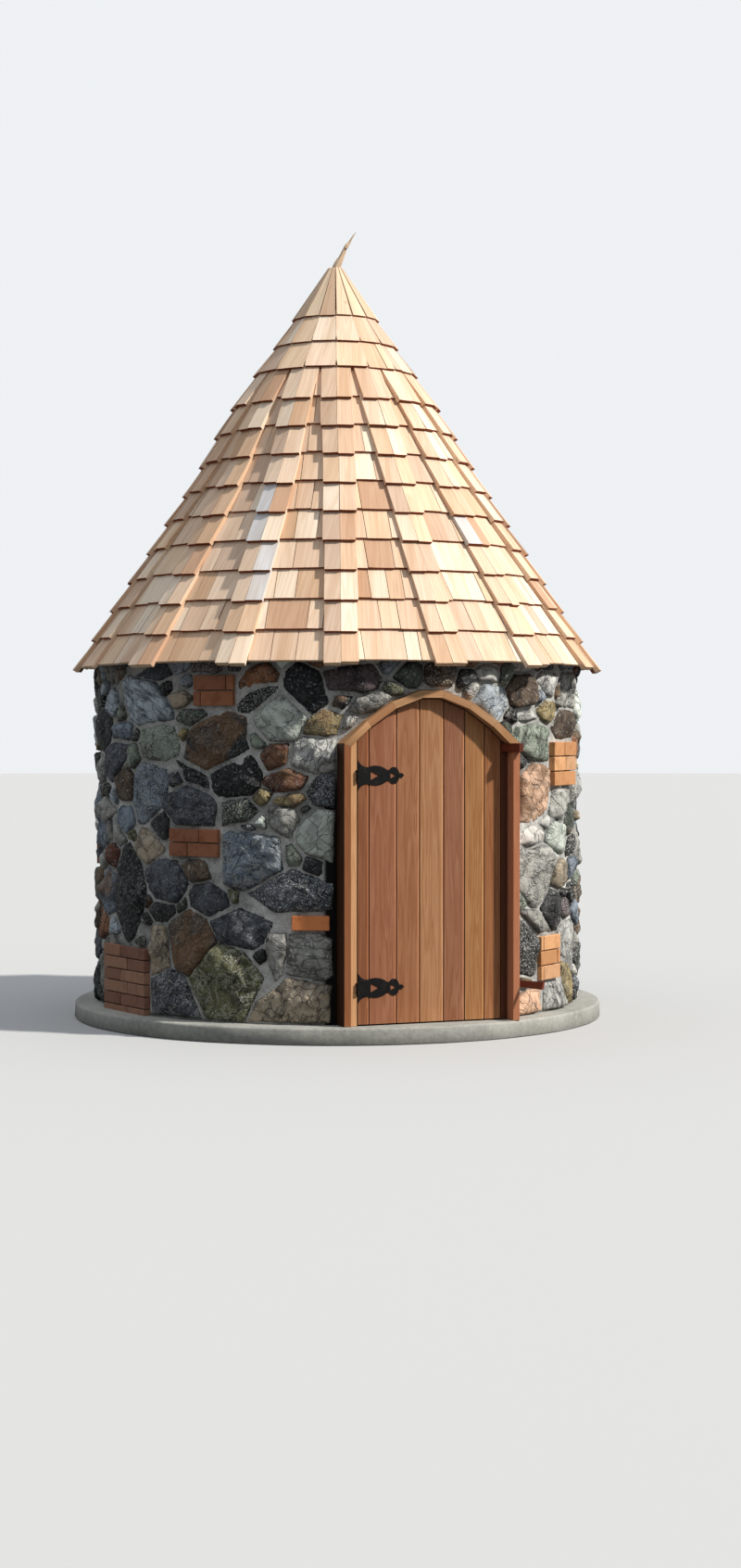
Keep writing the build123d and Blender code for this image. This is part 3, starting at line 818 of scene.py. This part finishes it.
loose = bpy.data.meshes.new("loose_stone")
near_cell = 0.014
far_cell = 0.027
rim_shade_width = 0.010
for group, members in eighths.items():
    heap = bmesh.new()
    heap.verts.layers.float_color.new("tint")
    heap.verts.layers.float_color.new("figure")
    heap.verts.layers.float_vector.new("bedding")
    for index in members:
        lump = bmesh.new()
        tint_layer = lump.verts.layers.float_color.new("tint")
        figure_layer = lump.verts.layers.float_color.new("figure")
        bedding_layer = lump.verts.layers.float_vector.new("bedding")
        middle, length, rise, lean, colour, marks = stones[index]
        own = random.Random(index * 3 + 1)
        faces_camera = -2.9 < round_to(Vector((0, 0)), middle).x < 1.9
        cell = near_cell if faces_camera else far_cell
        reach = 1.3 * max(length, rise)
        count = max(4, math.ceil(2 * reach / cell))
        bmesh.ops.create_grid(lump, x_segments=count, y_segments=count, size=reach)
        bmesh.ops.translate(lump, verts=lump.verts, vec=(middle.x, middle.y, 0))
        lines = lines_round(index)
        for point, away in lines:
            bmesh.ops.bisect_plane(
                lump,
                geom=[*lump.verts, *lump.edges, *lump.faces],
                dist=1e-5,
                plane_co=(point.x, point.y, 0),
                plane_no=(away.x, away.y, 0),
                clear_outer=True,
            )
        corners = lump.verts[:]
        if len(corners) < 4:
            lump.free()
            continue
        smaller = min(length, rise)
        edge = min(0.032, smaller * own.uniform(0.2, 0.45))
        height = own.uniform(0.030, 0.046) + 0.07 * (smaller - 0.05)
        facets = [(0.0, Vector((own.gauss(0, 0.10), own.gauss(0, 0.10))))]
        for _ in range(own.randint(2, 5)):
            slope = Vector((own.gauss(0, 1), own.gauss(0, 1))).normalized() * own.uniform(0.15, 0.55)
            facets.append((smaller * slope.length * own.uniform(0.1, 0.6), slope))
        shift = Vector((own.uniform(-9, 9), own.uniform(-9, 9), own.uniform(-9, 9)))
        bed_turn = Matrix.Rotation(own.uniform(-1.2, 1.2) + lean, 3, "Z")
        shade = own.uniform(0.80, 1.20)
        chippings = own.uniform(0.2, 1.4)
        for corner in corners:
            flat = corner.co.xy
            depth = max(min((point - flat).dot(away) for point, away in lines), 0.0)
            roll = math.sqrt(max(1 - (1 - min(depth / edge, 1.0)) ** 2, 0.0))
            local = flat - middle
            top = height + min(drop - slope.dot(local) for drop, slope in facets)
            top = max(top, height * 0.45)
            there = on_wall(flat.x, flat.y, 0.0)
            rough = noise.fractal(there * 14.0 + shift, 0.8, 2.1, 5) * 0.010
            chips = noise.voronoi(there * 21.0 - shift)[0]
            ridge = (chips[0] - 0.4) * 0.012 * chippings
            warp = noise.noise_vector(there * 8.0) * 0.010 + noise.noise_vector(there * 27.0) * 0.003
            along = flat.x + warp.x
            level = min(max(flat.y + warp.y, slab_top + 0.001), wall_top - 0.004)
            corner.co = on_wall(along, level, -0.006 + roll * (top + rough + ridge))
            # Each stone's tint is painted darker towards its rim, down to a quarter, as painted shade in the
            # joints round it.
            rim_shade = 0.25 + 0.75 * min(depth / rim_shade_width, 1.0)
            corner[tint_layer] = [part * shade * rim_shade for part in colour[:3]] + [1.0]
            corner[figure_layer] = marks
            corner[bedding_layer] = bed_turn @ Vector((local.x, local.y, roll * top)) + shift
        rim = [edge for edge in lump.edges if edge.is_boundary]
        back = bmesh.ops.extrude_edge_only(lump, edges=rim)["geom"]
        for corner in back:
            if isinstance(corner, bmesh.types.BMVert):
                corner.co.xy *= (wall_face - 0.02) / corner.co.xy.length
        back_edges = [part for part in back if isinstance(part, bmesh.types.BMEdge) and part.is_boundary]
        bmesh.ops.edgeloop_fill(lump, edges=back_edges)
        bmesh.ops.recalc_face_normals(lump, faces=lump.faces)
        for face in lump.faces:
            face.smooth = True
        lump.to_mesh(loose)
        lump.free()
        heap.from_mesh(loose)
    piece("stones_" + group, heap, rubble)
bpy.data.meshes.remove(loose)


# The door frame is cedar board on edge: two long jambs, an arch of short mitred boards, and a
# liner of the same board set back inside it, which the leaf closes in. All of it is oiled.
def wood(name, roughness, ring_scale, line_share, ring_share, knot_share):
    """Timber whose figure follows each piece's own grain map and whose colour is its tint."""
    made, shader, start = surface(name, roughness)
    grain = start.node("UVMap", {"uv_map": "grain"})
    tint = start.node("Attribute", {"attribute_name": "tint"})
    long = start.node("VectorMath", {"operation": "MULTIPLY"}, {0: grain, 1: (1.0, 0.05, 1.0)})
    thin = start.node("VectorMath", {"operation": "MULTIPLY"}, {0: grain, 1: (1.0, 0.016, 1.0)})
    round_knot = start.node("VectorMath", {"operation": "MULTIPLY"}, {0: grain, 1: (1.0, 0.6, 1.0)})
    rings = texture(start, long, ring_scale, 3.0, 0.5, 0.4)
    bands = (rings * 11.0).math("FRACT", rings * 11.0)
    bands = bands.ramp(0.0, 0.75) * (1 - bands.ramp(0.8, 1.0))
    lines = texture(start, thin, 330.0, 4.0, 0.7)
    broad = texture(start, long, 7.0, 2.0, 0.5, 0.3)
    cells = start.node("TexVoronoi", None, {"Vector": round_knot, "Scale": 3.4})
    chosen = start.node(
        "SeparateColor",
        None,
        {0: start.node("TexVoronoi", None, {"Vector": round_knot, "Scale": 3.4}, 1)},
    )
    knot = (1 - cells.ramp(0.018, 0.05)) * chosen.ramp(0.55, 0.6) * knot_share
    tone = tint.tinted("MULTIPLY", (0.70, 0.56, 0.46, 1), bands * ring_share)
    tone = tone.tinted("MULTIPLY", (0.62, 0.52, 0.45, 1), lines.ramp(0.5, 0.72) * line_share)
    tone = tone.tinted("MULTIPLY", (0.80, 0.70, 0.60, 1), broad.ramp(0.45, 0.7) * 0.6)
    tone = tone.tinted("MULTIPLY", (0.30, 0.18, 0.12, 1), knot)
    height = lines * 0.6 - bands * 0.25 - knot * 0.3
    connect(
        shader,
        Base_Color=tone,
        Roughness=roughness - 0.08 + lines * 0.16,
        Normal=bumped(start, height, 0.5, 0.0012),
    )
    return made


def islands_of(shape):
    """The separate pieces of a mesh, each as its faces, from left to right and bottom to top."""
    left = set(shape.faces)
    found = []
    while left:
        queue = [left.pop()]
        island = []
        while queue:
            face = queue.pop()
            island.append(face)
            for edge in face.edges:
                for other in edge.link_faces:
                    if other in left:
                        left.discard(other)
                        queue.append(other)
        found.append(island)
    middles = [
        sum((face.calc_center_median() for face in island), Vector()) / len(island) for island in found
    ]
    order = sorted(range(len(found)), key=lambda n: (round(middles[n].x, 3), middles[n].z))
    return [found[n] for n in order]


def mapped(faces, along, shift, map_layer):
    """Lay the grain map over faces, its second axis along the grain, in metres."""
    for face in faces:
        across = face.normal.cross(along)
        if across.length < 0.35:
            across = face.normal.orthogonal().normalized()
            second = face.normal.cross(across)
        else:
            across.normalize()
            second = along
        for loop in face.loops:
            loop[map_layer].uv = (loop.vert.co.dot(across) + shift.x, loop.vert.co.dot(second) + shift.y)


def dress(node, finish, ease, tints, body="hut", skip=None, end_shade=0.6, back=None):
    """A CAD timber as separate eased boards, each with its own grain along its longest edge."""
    shape = bmesh.new()
    shape.from_mesh(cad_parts[node].data)
    bmesh.ops.remove_doubles(shape, verts=shape.verts, dist=1e-5)
    bmesh.ops.dissolve_limit(shape, angle_limit=0.02, verts=shape.verts, edges=shape.edges)
    sharp = [edge for edge in shape.edges if edge.calc_face_angle(0.0) > 0.5]
    bmesh.ops.bevel(
        shape, geom=sharp, offset=ease, offset_type="OFFSET", segments=2, profile=0.5,
        affect="EDGES", material=-1, clamp_overlap=True,
    )
    shape.normal_update()
    tint_layer = shape.loops.layers.float_color.new("tint")
    map_layer = shape.loops.layers.uv.new("grain")
    own = random.Random(node)
    for number, island in enumerate(islands_of(shape)):
        edges = {edge for face in island for edge in face.edges}
        runs = [edge.verts[1].co - edge.verts[0].co for edge in edges]
        if skip:
            runs = [run for run in runs if abs(run.normalized().dot(skip)) < 0.5]
        along = max(runs, key=lambda run: run.length).normalized()
        colour = tints[number % len(tints)]
        shade = own.uniform(0.94, 1.06)
        mapped(island, along, Vector((own.uniform(0, 9), own.uniform(0, 9))), map_layer)
        for face in island:
            dark = end_shade if abs(face.normal.dot(along)) > 0.8 else 1.0
            # Faces turned towards the side given as back are painted near-black, a painted shade.
            if back and face.normal.dot(back) > 0.5:
                dark = 0.15
            for loop in face.loops:
                loop[tint_layer] = [part * shade * dark for part in colour[:3]] + [1.0]
    return piece("dressed_" + node, shape, finish, body=body, replaced=[node])


frame_wood = wood("frame_cedar", 0.55, 16.0, 0.45, 0.35, 0.8)
toward_room = Vector((0, 1, 0))
arch_tints = [paint(186, 142, 102), paint(178, 134, 98), paint(192, 150, 110)]
frame_tints = {
    "jamb_left": [paint(138, 88, 56)],
    "jamb_right": [paint(186, 126, 95)],
    "arch_head": arch_tints,
    "liner_left": [paint(206, 158, 114)],
    # The right liner is painted far darker than the left one, as painted shade inside the right side of the
    # doorway.
    "liner_right": [paint(88, 52, 36)],
}
# The left-facing faces of the left jamb and of the leaf, its left-facing chamfers too, are painted near-black
# as painted shade.
painted_shade_side = Vector((-1, 0, 0))
leaf_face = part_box("door_boards")[0].y
frame_proud = 0.017
frame_skew = 0.025
for node, tints in frame_tints.items():
    back = painted_shade_side if node == "jamb_left" else None
    boards = dress(node, frame_wood, 0.0025, tints, skip=toward_room, back=back)
    for corner in boards.data.vertices:
        if corner.co.y < leaf_face - 0.002:
            corner.co.y -= frame_proud + frame_skew * corner.co.x
block = dress("head_block", frame_wood, 0.002, [paint(110, 52, 34)])
for corner in block.data.vertices:
    if corner.co.y < leaf_face - 0.045:
        corner.co.y -= frame_proud + frame_skew * frame_half

# A short batten is wedged upright between the right jamb's foot and the stones, and stands proud.
batten = bmesh.new()
batten_tint = batten.loops.layers.float_color.new("tint")
batten_map = batten.loops.layers.uv.new("grain")
bmesh.ops.create_cube(batten, size=1.0)
batten_length, batten_thickness, batten_height = 0.240, 0.015, 0.042
batten_lean = Matrix.Rotation(math.radians(22), 3, "Y")
batten_turn = Matrix.Rotation(math.radians(27), 3, "Z")
for corner in batten.verts:
    taper = 1.0 - 0.3 * (corner.co.y + 0.5)
    sized = Vector((
        corner.co.x * batten_thickness, corner.co.y * batten_length, corner.co.z * batten_height * taper
    ))
    corner.co = batten_turn @ batten_lean @ sized + Vector((jamb_high.x + 0.024, -1.448, 0.283))
bmesh.ops.bevel(
    batten, geom=batten.edges[:], offset=0.0015, offset_type="OFFSET", segments=2, profile=0.5,
    affect="EDGES", material=-1,
)
batten.normal_update()
mapped(batten.faces, batten_turn @ Vector((0, -1, 0)), Vector((2, 3)), batten_map)
for face in batten.faces:
    for loop in face.loops:
        loop[batten_tint] = paint(116, 56, 38)
piece("foot_batten", batten, frame_wood)


# The leaf is seven upright tongued boards of red cedar, oiled, no two of one colour.
# Three chamfered ledges behind carry the boards, which are nailed through from the front.
door_wood = wood("door_cedar", 0.5, 13.0, 0.85, 0.6, 1.0)
board_tints = [
    paint(139, 91, 63),
    paint(153, 104, 78),
    paint(164, 116, 85),
    paint(174, 128, 92),
    paint(154, 108, 82),
    paint(166, 120, 79),
    paint(160, 111, 76),
]
leaf = dress("door_boards", door_wood, 0.0006, board_tints, body="door", back=painted_shade_side)

# Each board's right arris is planed wider and flatter than its left one, and catches the light. These planed
# faces are also painted half again paler, a painted highlight.
planed, planed_off = 0.0050, 0.0022
shape = bmesh.new()
shape.from_mesh(leaf.data)
leaf_front = min(corner.co.y for corner in shape.verts)
arrises = []
for board in islands_of(shape):
    face_corners = [corner for face in board for corner in face.verts if corner.co.y < leaf_front + 0.0003]
    arrises.append(max(corner.co.x for corner in face_corners))
for arris in sorted(arrises)[:-1]:
    bmesh.ops.bisect_plane(
        shape, geom=[*shape.verts, *shape.edges, *shape.faces], dist=1e-6,
        plane_co=(arris - planed, 0, 0), plane_no=(1, 0, 0),
    )
    for corner in shape.verts:
        if abs(corner.co.x - arris) < 0.0012 and corner.co.y < leaf_front + 0.0012:
            corner.co.y += planed_off
shape.normal_update()
arris_highlight = shape.loops.layers.float_color["tint"]
# Right-facing arris faces on the leaf's front are painted half again paler, a painted highlight.
for face in shape.faces:
    if 0.25 < face.normal.x < 0.9 and face.normal.y < -0.4:
        for loop in face.loops:
            loop[arris_highlight] = [part * 1.5 for part in loop[arris_highlight][:3]] + [1.0]
shape.to_mesh(leaf.data)
shape.free()
dress("door_ledges", door_wood, 0.002, [paint(160, 104, 68)], body="door")


# The hinges are cut from iron plate and painted black: pierced straps on the leaf, plates with
# knuckles and a pin on the frame. Round-headed screws hold the straps down their middle.
iron, iron_shader, start = surface("painted_iron", 0.5, 0.12)
place = start.node("TexCoord", output=3)
pit = texture(start, place, 210.0, 4.0, 0.6)
rub = texture(start, place, 24.0, 4.0, 0.6)
iron_colour = start.node(
    "Mix", {"data_type": "RGBA"}, {0: rub.ramp(0.5, 0.75) * 0.6, 6: paint(12, 11, 11), 7: paint(40, 36, 34)}, 2
)
connect(
    iron_shader,
    Base_Color=iron_colour,
    Roughness=0.42 + rub * 0.25,
    Normal=bumped(start, pit, 0.35, 0.0008),
)
for node in ("strap_upper", "strap_lower"):
    dress(node, iron, 0.0006, [paint(30, 28, 28)], body="door", end_shade=1.0)
liner_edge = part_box("liner_left")[1].x
for node in ("pintle_upper", "pintle_lower"):
    knuckles = dress(node, iron, 0.0006, [paint(30, 28, 28)], end_shade=1.0)
    shape = bmesh.new()
    shape.from_mesh(knuckles.data)
    cut = bmesh.ops.bisect_plane(
        shape, geom=[*shape.verts, *shape.edges, *shape.faces], dist=1e-6,
        plane_co=(liner_edge - 0.006, 0, 0), plane_no=(-1, 0, 0), clear_outer=True,
    )["geom_cut"]
    bmesh.ops.edgeloop_fill(shape, edges=[part for part in cut if isinstance(part, bmesh.types.BMEdge)])
    shape.to_mesh(knuckles.data)
    shape.free()
screw_radius = 0.0055
screw_spots = ((0.12, 0.42), (0.12, -0.42), (0.52, 0.0), (0.66, 0.0), (0.87, 0.0))
for node in ("strap_upper", "strap_lower"):
    low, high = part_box(node)
    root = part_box("door_boards")[0].x
    screws = bmesh.new()
    for along, rise in screw_spots:
        spot = Vector((root + along * (high.x - root), low.y, (low.z + high.z) / 2))
        spot.z += rise * (high.z - low.z) / 2
        spot.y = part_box("door_boards")[0].y - 0.004
        heads = bmesh.ops.create_uvsphere(screws, u_segments=12, v_segments=6, radius=screw_radius)
        bmesh.ops.scale(screws, verts=heads["verts"], vec=(1, 0.45, 1))
        bmesh.ops.translate(screws, verts=heads["verts"], vec=spot)
    for face in screws.faces:
        face.smooth = True
    piece("screws_" + node, screws, iron, body="door")


# The roof's frame is sawn softwood: a mitred wall plate, sixteen hip rafters that meet on a king
# block, and a boarded deck. It shows from the room and in the shade of the eave.
roof_wood = wood("sawn_softwood", 0.7, 12.0, 0.35, 0.45, 1.0)
roof_tints = [paint(196, 158, 110), paint(186, 148, 102), paint(204, 168, 122)]
for node in ("wall_plate", "rafters", "king_block", "roof_deck"):
    dress(node, roof_wood, 0.002, roof_tints)


# The roof is covered with twelve courses of split cedar shingles, fresh and unpainted, of many
# widths. Pairs of narrow ones fold over each hip, and sixteen long tapered ones close the top.
shingle_wood = wood("split_cedar", 0.75, 9.0, 0.4, 0.3, 0.5)
roof_sides = 16
half_side = math.pi / roof_sides
hip_turn = math.radians(270 + 2.25)
slope_angle = math.radians(58.1)
slope_run, slope_rise = math.cos(slope_angle), math.sin(slope_angle)
cap_length = 0.372
course_count = 12
capped_courses = 10
butt = 0.026
thin_end = 0.012
hole_radius = 0.031
cap_low, cap_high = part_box("roof_cap")
deck_apex = cap_high.z + hole_radius * math.tan(slope_angle) - thin_end / slope_run
second_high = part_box("shingle_course_02")[1].z
first_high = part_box("shingle_course_01")[1].z
exposure = (second_high - first_high) / slope_rise
slope_length = course_count * exposure + cap_length
eave_radius = slope_length * slope_run
eave_level = deck_apex - slope_length * slope_rise
lap = 0.045
shingle_tints = (
    [paint(226, 199, 173)] * 5
    + [paint(220, 191, 165)] * 4
    + [paint(232, 208, 184)] * 4
    + [paint(214, 182, 152)] * 3
    + [paint(210, 184, 162)] * 3
    + [paint(230, 202, 172)] * 2
    + [paint(238, 220, 198)] * 3
    + [paint(198, 162, 134)] * 2
)
# Butts, undersides and hip cuts take a darker tint: partly the end grain's own colour, partly painted shade
# under each course. The eave course's butts keep the boards' pale colour.
end_grain_and_shade_tint = paint(140, 76, 46)
eave_tint = paint(232, 204, 172)
silver_tint = paint(214, 213, 214)
silver_boards = {(3, 14, -1), (4, 14, -1), (5, 13, 1), (6, 13, 1), (5, 0, 1)}
swell = 0.028
swell_lean = 0.012
swell_from, swell_to = 1.15, 1.75
hip_lap = 0.014
hip_drop = 0.033
hip_rise_low = 0.026
hip_rise_high = 0.017


def swollen(along):
    """Share of the upper roof's swell that is reached at a distance up the slope."""
    share = min(max((along - swell_from) / (swell_to - swell_from), 0.0), 1.0)
    return share * share * (3 - 2 * share)


def on_roof(side, across, along, proud):
    """Point on a side: across from its middle, up the slope from the eave, proud of the deck."""
    turn = hip_turn + half_side * (2 * side + 1)
    radius = eave_radius - along * slope_run + proud * slope_rise + swell * swollen(along)
    level = eave_level + along * slope_rise + proud * slope_run
    spot = Vector((
        radius * math.cos(turn) - across * math.sin(turn),
        radius * math.sin(turn) + across * math.cos(turn),
        level,
    ))
    return spot - aside * swell_lean * swollen(along)


def half_width(along):
    """Half a side's width at a distance up the slope."""
    return (eave_radius - along * slope_run + swell * swollen(along)) * math.tan(half_side)


def lay_board(heap, side, outline, heights, colour, own, hips=(), end_tint=end_grain_and_shade_tint, painted_side_light=0.72):
    """One split board: corners as (across, along) from its low left round, and its four heights."""
    board = bmesh.new()
    tint_layer = board.loops.layers.float_color.new("tint")
    map_layer = board.loops.layers.uv.new("grain")
    bmesh.ops.create_grid(board, x_segments=3, y_segments=3, size=0.5)
    low_left, low_right, high_right, high_left = outline
    low_top, high_top, low_under, high_under = heights
    shift = Vector((own.uniform(0, 40), own.uniform(0, 40)))
    cup = own.uniform(-0.0012, 0.0018)
    twist = own.uniform(-0.0012, 0.0012)
    top = board.faces[:]
    under = bmesh.ops.extrude_face_region(board, geom=top)["geom"]
    under_corners = {part for part in under if isinstance(part, bmesh.types.BMVert)}
    for corner in board.verts:
        x, y = corner.co.x + 0.5, corner.co.y + 0.5
        low = low_left.lerp(low_right, x)
        high = high_left.lerp(high_right, x)
        spot = low.lerp(high, y)
        if corner in under_corners:
            proud = low_under + (high_under - low_under) * y
        else:
            proud = low_top + (high_top - low_top) * y + cup * (2 * x - 1) ** 2
            proud += twist * (2 * x - 1) * (1 - y) + 0.0007 * noise.noise(Vector((x * 6, side, shift.x)))
        corner.co = (spot.x, spot.y, proud)
    bmesh.ops.recalc_face_normals(board, faces=board.faces)
    for face in board.faces:
        lower_end = face.normal.y < -0.8
        tone = end_grain_and_shade_tint if face.normal.z < -0.5 else end_tint if lower_end else colour
        # Board sides are painted by this factor: 0.72 darker as painted shade, or 1.1 paler on hip boards as a
        # painted highlight.
        shade = 1.0 if face.normal.z > 0.5 or lower_end else painted_side_light
        for loop in face.loops:
            loop[map_layer].uv = (loop.vert.co.x + loop.vert.co.z + shift.x, loop.vert.co.y + shift.y)
            loop[tint_layer] = [part * shade for part in tone[:3]] + [1.0]
    for corner in board.verts:
        corner.co = on_roof(side, *corner.co)
    board_lean = swell_lean * swollen((low_left.y + high_left.y) / 2)
    for way in hips:
        turn = hip_turn + half_side * (2 * side + 1 + way)
        away = Vector((-math.sin(turn), math.cos(turn), 0)) * way
        cut = bmesh.ops.bisect_plane(
            board, geom=[*board.verts, *board.edges, *board.faces], dist=1e-6,
            plane_co=away * -0.0008 - aside * board_lean, plane_no=away, clear_outer=True,
        )["geom_cut"]
        open_edges = [part for part in cut if isinstance(part, bmesh.types.BMEdge)]
        if open_edges:
            closed = bmesh.ops.edgeloop_fill(board, edges=open_edges)["faces"]
            for face in closed:
                for loop in face.loops:
                    loop[tint_layer] = end_grain_and_shade_tint
    if len(board.faces) > 3:
        board.to_mesh(loose)
        heap.from_mesh(loose)
    board.free()


loose = bpy.data.meshes.new("loose_board")
keyway = 0.0035
for course in range(1, course_count + 1):
    draw = random.Random(400 + course)
    heap = bmesh.new()
    heap.loops.layers.float_color.new("tint")
    heap.loops.layers.uv.new("grain")
    base = (course - 1) * exposure
    for side in range(roof_sides):
        reach = half_width(base)
        across = -reach
        while across < reach:
            width = draw.choice((0.07, 0.09, 0.11, 0.13, 0.15, 0.18, 0.21, 0.24)) * draw.uniform(0.9, 1.1)
            right = across + width
            if reach - right < 0.05:
                right = reach
            foot = base + draw.uniform(-0.004, 0.003)
            head = base + exposure + lap
            lift = draw.uniform(-0.002, 0.002)
            if course > capped_courses:
                lift += 0.018 if course == capped_courses + 1 else 0.007
            fall = (butt - thin_end) / exposure
            tone = draw.choice(shingle_tints)
            left_cut = across if across == -reach else across + keyway / 2
            right_cut = right if right == reach else right - keyway / 2
            hips = [way for way, end in ((-1, left_cut), (1, right_cut)) if abs(end) > half_width(head) - 0.02]
            lay_board(
                heap,
                side,
                [
                    Vector((left_cut, foot)),
                    Vector((right_cut, foot)),
                    Vector((right_cut, head)),
                    Vector((left_cut, head)),
                ],
                (butt + lift, thin_end - fall * lap + lift * 0.3, thin_end - 0.001, 0.0),
                tone,
                draw,
                hips,
                eave_tint if course == 1 else end_grain_and_shade_tint,
            )
            across = right
    if course <= capped_courses:
        hip_share = math.atan2(math.tan(half_side) * slope_run, 1.0)
        for side in range(roof_sides):
            for way in (-1, 1):
                width = 0.08 * draw.uniform(0.92, 1.08) / math.cos(hip_share)
                foot = base - hip_drop + draw.uniform(-0.005, 0.004)
                head = foot + exposure + lap
                outer_low = way * (half_width(foot) + hip_lap)
                outer_high = way * (half_width(head) + hip_lap)
                inner_low = way * (half_width(foot) - width)
                inner_high = way * (half_width(head) - width)
                tone = draw.choice(shingle_tints)
                if (course, side, way) in silver_boards:
                    tone = silver_tint
                corners = [
                    Vector((inner_low, foot)),
                    Vector((outer_low, foot)),
                    Vector((outer_high, head)),
                    Vector((inner_high, head)),
                ]
                if way < 0:
                    corners = [corners[1], corners[0], corners[3], corners[2]]
                lift = draw.uniform(-0.0015, 0.0015)
                lay_board(
                    heap,
                    side,
                    corners,
                    (butt + hip_rise_low + lift, thin_end + hip_rise_high, butt - 0.003, thin_end - 0.006),
                    tone,
                    draw,
                    [way],
                    eave_tint if course == 1 else end_grain_and_shade_tint,
                    # The hip boards' sides are painted paler, a painted highlight.
                    1.1,
                )
    name = f"shingle_course_{course:02d}"
    piece(f"shingles_{course:02d}", heap, shingle_wood, replaced=[name])

heap = bmesh.new()
heap.loops.layers.float_color.new("tint")
heap.loops.layers.uv.new("grain")
draw = random.Random(77)
cap_tints = [paint(226, 200, 170), paint(206, 180, 156), paint(232, 208, 178), paint(214, 186, 158)]
base = course_count * exposure
for side in range(roof_sides):
    foot = base + draw.uniform(-0.003, 0.002)
    head = slope_length - (hole_radius - swell) / slope_run
    low_half, high_half = half_width(foot) - 0.001, half_width(head) - 0.0003
    lay_board(
        heap,
        side,
        [
            Vector((-low_half, foot)),
            Vector((low_half, foot)),
            Vector((high_half, head)),
            Vector((-high_half, head)),
        ],
        (butt + draw.uniform(-0.001, 0.001), thin_end, thin_end - 0.001, 0.001),
        cap_tints[(side * 3 + side // 4) % len(cap_tints)],
        draw,
    )
piece("roof_top", heap, shingle_wood, replaced=["roof_cap"])
bpy.data.meshes.remove(loose)


# The finial is a splinter of split timber, left as it came off the log, kinked and tapering to a
# point, that stands on the king block through the top of the roof.
finial = bmesh.new()
finial.from_mesh(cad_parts["finial"].data)
bmesh.ops.remove_doubles(finial, verts=finial.verts, dist=1e-5)
bmesh.ops.dissolve_limit(finial, angle_limit=0.02, verts=finial.verts, edges=finial.edges)
long_edges = [edge for edge in finial.edges if edge.calc_length() > 0.06]
bmesh.ops.subdivide_edges(finial, edges=long_edges, cuts=7, use_grid_fill=True)
finial.normal_update()
finial_tip = max(corner.co.z for corner in finial.verts)
finial_lean = 0.026
tint_layer = finial.loops.layers.float_color.new("tint")
map_layer = finial.loops.layers.uv.new("grain")
for corner in finial.verts:
    wobble = noise.noise_vector(Vector((corner.co.x * 40, corner.co.y * 40, corner.co.z * 12)))
    below_tip = min((finial_tip - corner.co.z) / 0.2, 1.0)
    corner.co += wobble * 0.004 + corner.normal * 0.006 * below_tip - aside * finial_lean * below_tip
finial.normal_update()
mapped(finial.faces, Vector((0.35, -0.1, 0.93)).normalized(), Vector((3, 5)), map_layer)
for face in finial.faces:
    for loop in face.loops:
        loop[tint_layer] = paint(226, 202, 174)
piece("finial_splinter", finial, shingle_wood, replaced=["finial"])
